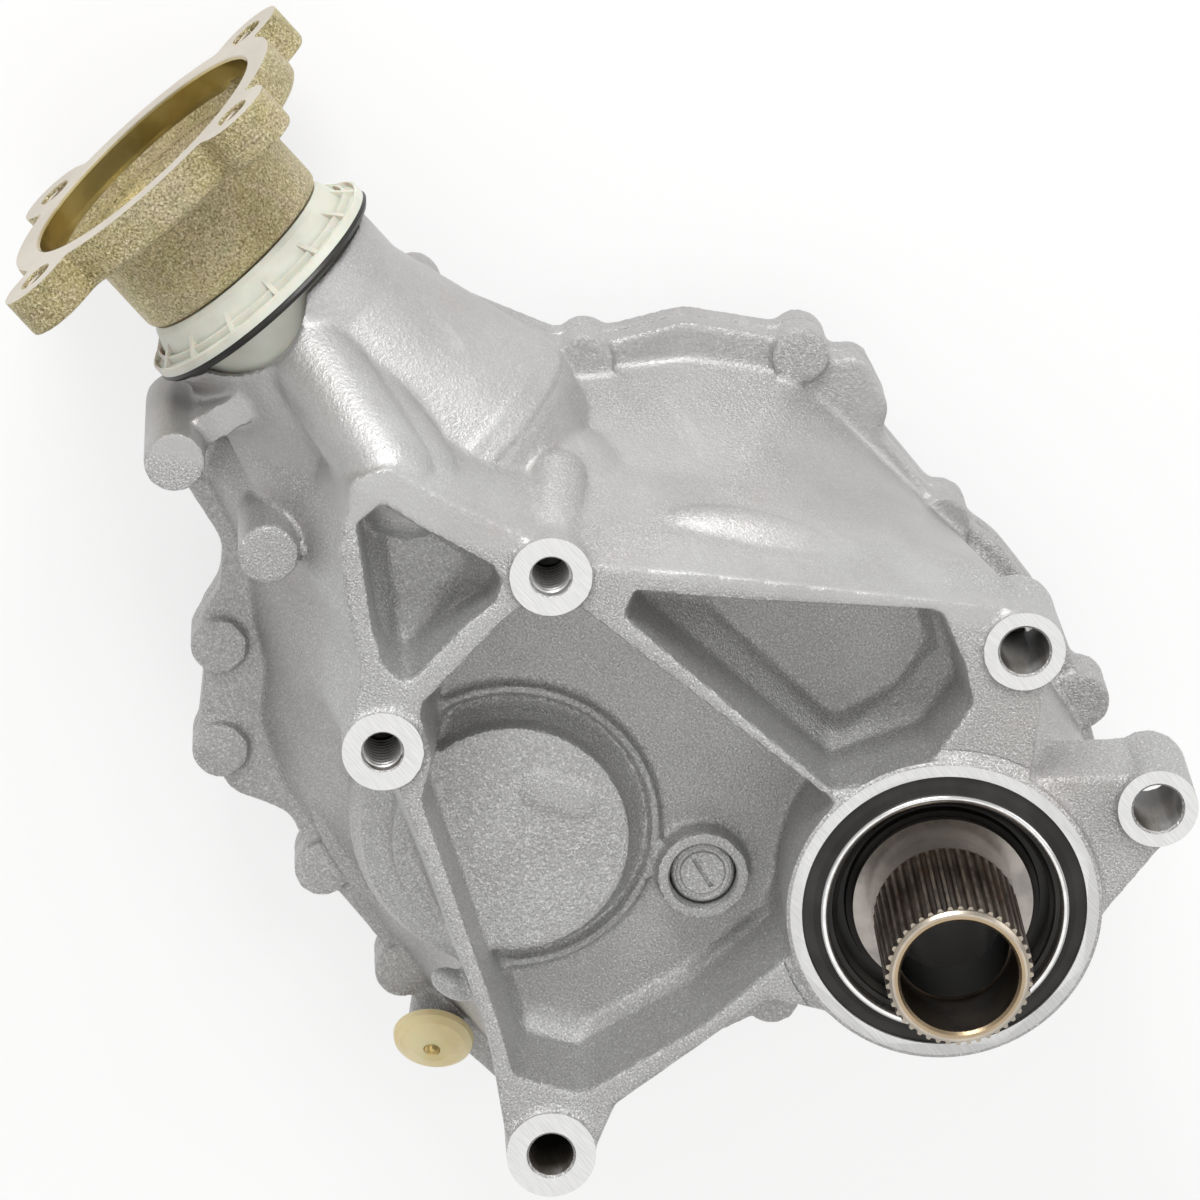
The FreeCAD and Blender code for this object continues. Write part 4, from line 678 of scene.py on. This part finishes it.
def mainCase():
    made = merged("mainCase", "main_case")
    tree = BVHTree.FromObject(made, bpy.context.evaluated_depsgraph_get())
    machine(made, [pocketTool("pocket", sidePocket, sideLevels), pocketTool("pocket", neckPocket, neckLevels)])
    print("pockets widened:", len(made.data.polygons), "faces")
    output = spotOf("output_pilot")
    stock = []
    for name in tapped:
        stock.append(roundTool("stock", [(0, case["shaftLow"] - case["bossTip"]),
                                         (case["bossRadius"], case["shaftLow"]),
                                         (case["bossRadius"], case["stockTop"]), (0, case["stockTop"])],
                               spotOf(name)))
    for name in plain:
        radius = case["footRadius"] if name == "hole_five" else case["bossRadius"]
        stock.append(drum("stock", radius, case["stockLow"], case["stockTop"], spotOf(name)))
    stock.append(drum("stock", case["ringRadius"], case["ringLow"], case["stockTop"], (0, 0, 0)))
    stock.append(drum("stock", case["idlerRadius"], case["idlerLow"], case["idlerTop"], (*case["idler"], 0)))
    boss = Vector(spotOf("thread_one"))
    low = boss + Vector((0, 0, case["shaftLow"]))
    shaft = [boss + Vector((0, 0, case["shaftTop"])) + wallOut * case["shaftOut"],
             wallAt(tree, low, wallOut) - wallOut * case["shaftSunk"]]
    stock.append(rounded("stock", [tuple(end) for end in shaft], case["shaftRadius"]))
    stock.append(rounded("stock", ridge["places"], ridge["radius"]))
    first, second = [wallAt(tree, end, wallOut) for end in swell["ends"]]
    sunk = wallOut * (swell["depth"] - swell["proud"])
    reach = ((second - first).length / 2, swell["depth"], swell["height"])
    stock.append(egg("stock", (first + second) / 2 - sunk, reach, second - first))
    hit = wallAt(tree, blend["spot"], wallOut)
    stock.append(egg("stock", hit - wallOut * (blend["reach"][1] - blend["proud"]), blend["reach"], wallAlong))
    stock.append(roundTool("stock", noseProfile, (0, *output[1:]), (1, 0, 0)))
    stock.append(rounded("stock", flank["places"], flank["radius"]))
    stock.append(rounded("stock", ledge["places"], ledge["radius"]))
    stock.append(egg("stock", lump["spot"], lump["reach"], lump["along"]))
    joinInto(made, stock)
    cast(made, case["voxel"], case["passes"], case["keep"])
    print("case cast:", len(made.data.polygons), "faces")

    over = case["over"]
    bore, rim, edge = case["idlerBore"], case["idlerChamfer"], case["idlerTop"]
    cutters = [block("top", (-120, -120, 0), (330, 220, 20)),
               drum("bore", case["ringBore"], -case["ringDepth"], over, (0, 0, 0), steps=160),
               block("end", (case["neckEnd"], -40, -160), (300, 110, 0)),
               drum("bore", case["neckBore"], case["neckFloor"], case["neckEnd"] + 7, (0, *output[1:]), (1, 0, 0),
                    128),
               roundTool("bore", [(0, case["idlerFloor"]), (bore, case["idlerFloor"]), (bore, edge - rim),
                                  (bore + rim, edge + rim), (0, edge + rim)], (*case["idler"], 0))]
    reaches = {}
    for name in tapped + plain:
        threaded = name in tapped
        chamfer = drilled["tappedChamfer"] if threaded else drilled["plainChamfer"]
        radius = sizeOf(name, "r_mm") + (drilled["threadRoot"] if threaded else 0)
        depth = sizeOf(name, "length_mm")
        reaches[name] = (radius + chamfer, depth)
        point = drilled["point"] if threaded else 0
        cutters.append(roundTool("hole", [(0, -depth - point), (radius, -depth), (radius, -chamfer),
                                          (radius + chamfer, 0.05), (radius + chamfer, over), (0, over)],
                                 spotOf(name), steps=drilled["steps"]))
    start = case["ringRadius"] - ringEdge["inside"]
    end = start + ringEdge["width"]
    cutters.append(ringSolid("edge", [(start, ringEdge["above"]), (end, ringEdge["above"]),
                                      (end, -ringEdge["fall"])], (0, 0, 0)))
    machine(made, cutters)

    # 0 cast, 1 machined, 2 inside a hole
    def whichFinish(c):
        chosen = np.zeros(len(c))
        fromAxis = np.hypot(c[:, 0], c[:, 1])
        chosen[(c[:, 2] > -0.02) | (c[:, 0] > case["neckEnd"] - 0.02)] = 1
        chosen[(fromAxis < case["ringBore"] + 0.1) & (c[:, 2] > -case["ringDepth"] - 0.1)] = 1
        for name, (reach, depth) in reaches.items():
            x, y, z = spotOf(name)
            inside = (np.hypot(c[:, 0] - x, c[:, 1] - y) < reach + 0.05) & (c[:, 2] > -depth - 4)
            chosen[inside & (c[:, 2] < -1.0)] = 2
        return chosen

    dressParts(made, [finishes["cast_aluminium"], machined, bored], whichFinish)
    shade(made)
    place(made, "housing", "cast_aluminium", "main_case")


cover = {"voxel": 1.8, "passes": 3, "keep": 0.45}


def rearCover():
    made = merged("rearCover", "rear_cover")
    cast(made, cover["voxel"], cover["passes"], cover["keep"])
    made.data.materials.append(finishes["cast_aluminium"])
    shade(made)
    place(made, "housing", "cast_aluminium", "rear_cover")


mainCase()
rearCover()


# idler plug: a cast disc with a turned groove and a driver slot
plug = {"radius": 9.9, "low": -62.0, "top": -35.5, "groove": 8.2, "grooveWidth": 0.9, "grooveDepth": 0.6,
        "slotLength": 11.0, "slotWidth": 1.5, "slotDepth": 1.6, "slotTurn": -10.0}


def idlerPlug():
    x, y = case["idler"]
    outer, low, top = plug["radius"], plug["low"], plug["top"]
    groove, floor = plug["groove"], plug["top"] - plug["grooveDepth"]
    inner = groove - plug["grooveWidth"]
    made = roundTool("idlerPlug", [(0, low), (outer, low), (outer, top - 1.0), (outer - 0.4, top - 0.3),
                                   (outer - 1, top), (groove + 0.4, top), (groove, floor), (inner, floor),
                                   (inner - 0.5, top), (0, top)], (x, y, 0))
    length, width = plug["slotLength"] / 2, plug["slotWidth"] / 2
    slot = block("slot", (-length, -width, top - plug["slotDepth"]), (length, width, top + 2))
    turn = Matrix.Rotation(math.radians(plug["slotTurn"]), 4, "Z")
    slot.data.transform(Matrix.Translation((x * mm, y * mm, 0)) @ turn)
    machine(made, [slot])
    made.data.materials.clear()
    made.data.materials.append(finishes["cast_aluminium"])
    shade(made, 40)
    place(made, "housing", "cast_aluminium", "idler_pin")


idlerPlug()


# a coil of thread ridges, once or on a circle of holes
thread = {"Pitch": 2.5 * mm, "Turns": 10.4, "Hole Radius": 6.2 * mm, "Ridge": 0.45 * mm, "Count": 1,
          "Circle Radius": 0.0, "Start Angle": 0.0, "Finish": machined}
threadLow = -28.0


def threadRecipe():
    r = Recipe("threadRidge", thread)
    radius = r.given("Hole Radius")
    coil = r.node("GeometryNodeCurveSpiral", 0, {}, {
        "Resolution": 40, "Rotations": r.given("Turns"), "Start Radius": radius, "End Radius": radius,
        "Height": r.given("Pitch") * r.given("Turns")})
    coil = r.node("GeometryNodeSetCurveNormal", 0, {"mode": "Z_UP"}, {"Curve": coil})
    ridge = r.node("GeometryNodeCurvePrimitiveCircle", 0, {}, {"Resolution": 4, "Radius": r.given("Ridge")})
    ridges = r.node("GeometryNodeCurveToMesh", 0, {}, {"Curve": coil, "Profile Curve": ridge, "Fill Caps": True})
    turn = (r.node("GeometryNodeInputIndex") * (2 * math.pi)) / r.given("Count") + r.given("Start Angle")
    spot = r.node("ShaderNodeCombineXYZ", 0, {}, {"X": turn.cosine() * r.given("Circle Radius"),
                                                  "Y": turn.sine() * r.given("Circle Radius")})
    spots = r.node("GeometryNodePoints", 0, {}, {"Count": r.given("Count"), "Position": spot})
    r.close(r.node("GeometryNodeInstanceOnPoints", 0, {}, {"Points": spots, "Instance": ridges}), r.given("Finish"))
    return r


threads = threadRecipe()
for name in tapped:
    made = threads.make("ridges_" + name)
    made.data.transform(Matrix.Translation((Vector(spotOf(name)) + Vector((0, 0, threadLow))) * mm))
    shade(made, 20)
    place(made, "housing", "cast_aluminium")


# output flange: its heights run along X from the part's origin
flange = {"plateBack": 314.0, "rim": 52.0, "ear": 12.3, "earAngle": 41.0, "ears": 4, "spare": 3.0,
          "holeLow": 300.0, "holeChamfer": 0.6, "past": 340.0, "bowlFloor": 317.0, "bowlRadius": 38.0,
          "bowlMouth": 39.4, "lip": 0.8, "boreChamfer": 0.9, "notch": 4.5, "notchReach": 40.0, "notchLow": 310.0,
          "voxel": 1.1, "passes": 5, "keep": 0.6}
# threads in the ears, sunk a little into each hole's wall
earThread = {"pitch": 1.25, "turns": 9.0, "sunk": 0.05, "ridge": 0.6, "above": 1.2}


def outputFlange():
    made = merged("outputFlange", "output_flange")
    face, y, z = spotOf("output_bolts")
    bore = sizeOf("output_pilot", "r_mm")
    floor = face - sizeOf("output_pilot", "length_mm") - flange["lip"]
    reach = sizeOf("output_bolts", "pcd_mm") / 2
    hole = sizeOf("output_bolts", "hole_r_mm")
    axis = (1, 0, 0)
    top = face + flange["spare"]
    low, past = flange["holeLow"], flange["past"]
    mouth = hole + flange["holeChamfer"]
    stock = [drum("stock", flange["rim"], flange["plateBack"] + 4, top, (0, y, z), axis)]
    holes = []
    for i in range(flange["ears"]):
        a = math.radians(flange["earAngle"] + 360 / flange["ears"] * i)
        centre = (0, y + reach * math.cos(a), z + reach * math.sin(a))
        stock.append(drum("stock", flange["ear"], flange["plateBack"] + 1, top, centre, axis, 48))
        holes.append(roundTool("hole", [(0, low), (hole, low), (hole, face - 0.5), (mouth, face + 0.1),
                                        (mouth, past), (0, past)], centre, axis, 48))
    joinInto(made, stock)
    cast(made, flange["voxel"], flange["passes"], flange["keep"])
    a = math.radians(flange["earAngle"] + 180)
    notch = (0, y + flange["notchReach"] * math.cos(a), z + flange["notchReach"] * math.sin(a))
    rim = flange["boreChamfer"]
    bowl = [(0, flange["bowlFloor"]), (flange["bowlRadius"], flange["bowlFloor"]), (flange["bowlMouth"], floor),
            (bore, floor), (bore, face - rim), (bore + rim, face), (bore + rim, past), (0, past)]
    cutters = [block("face", (face, -60, -200), (350, 140, 40)),
               roundTool("bore", bowl, (0, y, z), axis, 160),
               drum("notch", flange["notch"], flange["notchLow"], floor + 1, notch, axis, 40)]
    machine(made, cutters + holes)

    # 0 rough, 1 turned
    def whichFinish(c):
        radius = np.hypot(c[:, 1] - y, c[:, 2] - z)
        turned = c[:, 0] > face - 0.02
        turned |= (radius < bore + 1.2) & (c[:, 0] > floor - 0.3)
        return turned.astype(int)

    dressParts(made, [finishes["yellow_zinc"], zincTurned], whichFinish)
    shade(made)
    place(made, "output", "yellow_zinc", "output_flange")

    ridges = threads.make("earThreads", **{
        "Pitch": earThread["pitch"] * mm, "Turns": earThread["turns"], "Ridge": earThread["ridge"] * mm,
        "Hole Radius": (hole + earThread["sunk"]) * mm, "Count": flange["ears"], "Circle Radius": reach * mm,
        "Start Angle": math.radians(flange["earAngle"]), "Finish": zincTurned})
    ridges.data.transform(turning(axis, Vector((flange["plateBack"] + earThread["above"], y, z)) * mm))
    shade(ridges, 20)
    place(ridges, "output", "yellow_zinc")


outputFlange()


# the two rings that show round the spline: folds of the oil seal, and the bright band of the pilot seal
folds = {"pitch": 1.5, "turns": 4.0, "radius": 33.9, "ridge": 0.8, "low": -9.0}
band = {"inner": 36.3, "outer": 38.6, "low": -14.0, "top": 2.1, "round": 0.7, "taper": 0.4}


def sealRings():
    made = threads.make("sealFolds", **{"Pitch": folds["pitch"] * mm, "Turns": folds["turns"],
                                        "Hole Radius": folds["radius"] * mm, "Ridge": folds["ridge"] * mm,
                                        "Finish": finishes["black_rubber"]})
    made.data.transform(Matrix.Translation((0, 0, folds["low"] * mm)))
    shade(made, 50)
    place(made, "housing", "black_rubber")
    inner, outer, top, turn = band["inner"], band["outer"], band["top"], band["round"]
    made = ringSolid("pilotBand", [(inner, band["low"]), (inner, top - turn), (inner + turn * 0.4, top - turn * 0.3),
                                   (inner + turn, top), (outer - turn, top), (outer - turn * 0.4, top - turn * 0.3),
                                   (outer, top - turn), (outer - band["taper"], band["low"])], (0, 0, 0))
    made.data.materials.append(finishes["bright_steel"])
    shade(made, 50)
    place(made, "housing", "bright_steel", "pilot_seal_band")


sealRings()


# finishes of the pieces that keep their solids
slots = {piece["node"]: piece["material_slot"] for piece in frame["record"]["subparts"]}
for node, made in frame["nodes"].items():
    if made.hide_render:
        continue
    made.data.materials.clear()
    made.data.materials.append(finishes[slots[node]])
    shade(made, 30)
print("solids dressed")


# camera, floor and light
view = {"aim": (0.1376, 0.0200, -0.0355), "azimuth": -33.96, "elevation": 71.0, "roll": 187.3, "distance": 2.4723,
        "lens": 240.0, "sensor": 36.0, "far": 20.0}


def viewAxes():
    a = math.radians(view["azimuth"])
    e = math.radians(view["elevation"])
    r = math.radians(view["roll"])
    back = Vector((math.cos(e) * math.cos(a), math.cos(e) * math.sin(a), math.sin(e)))
    side = Vector((-math.sin(a), math.cos(a), 0))
    up = back.cross(side) * math.cos(r) + side * math.sin(r)
    return up.cross(back), up, back


right, up, back = viewAxes()
aim = Vector(view["aim"])


def camera():
    data = bpy.data.cameras.new("camera")
    data.lens = view["lens"]
    data.sensor_width = view["sensor"]
    data.clip_end = view["far"]
    made = bpy.data.objects.new("camera", data)
    bpy.context.scene.collection.objects.link(made)
    turn = Matrix((right, up, back)).transposed().to_4x4()
    made.matrix_world = Matrix.Translation(aim + back * view["distance"]) @ turn
    bpy.context.scene.camera = made


# name, place to the right, up and towards the viewer, width, power
lights = [("key", (-0.25, 1.3, 1.35), 0.75, 26.0), ("front", (0.1, -1.2, 1.6), 2.0, 9.0),
          ("side", (1.3, 0.3, 0.8), 0.8, 4.0)]
sky = {"colour": (1.0, 0.99, 0.97, 1), "strength": 0.60}
paper = {"colour": grey(0.9), "roughness": 0.8, "glow": 0.72, "reach": 4.0, "gap": 0.3 * mm}


def softLight(name, offset, width, power):
    data = bpy.data.lights.new(name, "AREA")
    data.shape = "SQUARE"
    data.size = width
    data.energy = power
    made = bpy.data.objects.new(name, data)
    bpy.context.scene.collection.objects.link(made)
    made.location = aim + right * offset[0] + up * offset[1] + back * offset[2]
    made.rotation_euler = (aim - made.location).to_track_quat("-Z", "Y").to_euler()


def paleFloor():
    low = sizeBefore[0][2] - paper["gap"]
    reach = paper["reach"]
    made = buildMesh("floor", [(-reach, -reach, low), (reach, -reach, low), (reach, reach, low),
                               (-reach, reach, low)], [(0, 1, 2, 3)])
    p = Paint("floorPaper")
    seen = p.node("ShaderNodeLightPath", "Is Camera Ray")
    seen = seen.larger(p.other(seen, "Is Glossy Ray")).larger(p.other(seen, "Is Transmission Ray"))
    sheet = p.node("ShaderNodeBsdfPrincipled", "BSDF", {}, {"Base Color": paper["colour"],
                                                            "Roughness": paper["roughness"]})
    glow = p.node("ShaderNodeEmission", "Emission", {}, {"Color": grey(1.0), "Strength": 1.0})
    both = p.node("ShaderNodeMixShader", "Shader", {}, {"Fac": seen * paper["glow"], 1: sheet, 2: glow})
    p.node("ShaderNodeOutputMaterial", 0, {}, {"Surface": both})
    made.data.materials.append(p.material)


# soft white surroundings, seen as plain white by the camera
def skyLight():
    world = bpy.data.worlds.new("studio")
    bpy.context.scene.world = world
    world.use_nodes = True
    bench = Bench()
    bench.tree = world.node_tree
    bench.tree.nodes.clear()
    path = bench.node("ShaderNodeLightPath", "Is Camera Ray")
    glow = bench.node("ShaderNodeBackground", 0, {}, {"Color": sky["colour"], "Strength": sky["strength"]})
    white = bench.node("ShaderNodeBackground", 0, {}, {"Color": grey(1.0), "Strength": 1.0})
    mix = bench.node("ShaderNodeMixShader", 0, {}, {"Fac": path, 1: glow, 2: white})
    bench.node("ShaderNodeOutputWorld", 0, {}, {"Surface": mix})


camera()
for light in lights:
    softLight(*light)
paleFloor()
skyLight()
bpy.context.scene.view_settings.view_transform = "Standard"
print("stage lit")
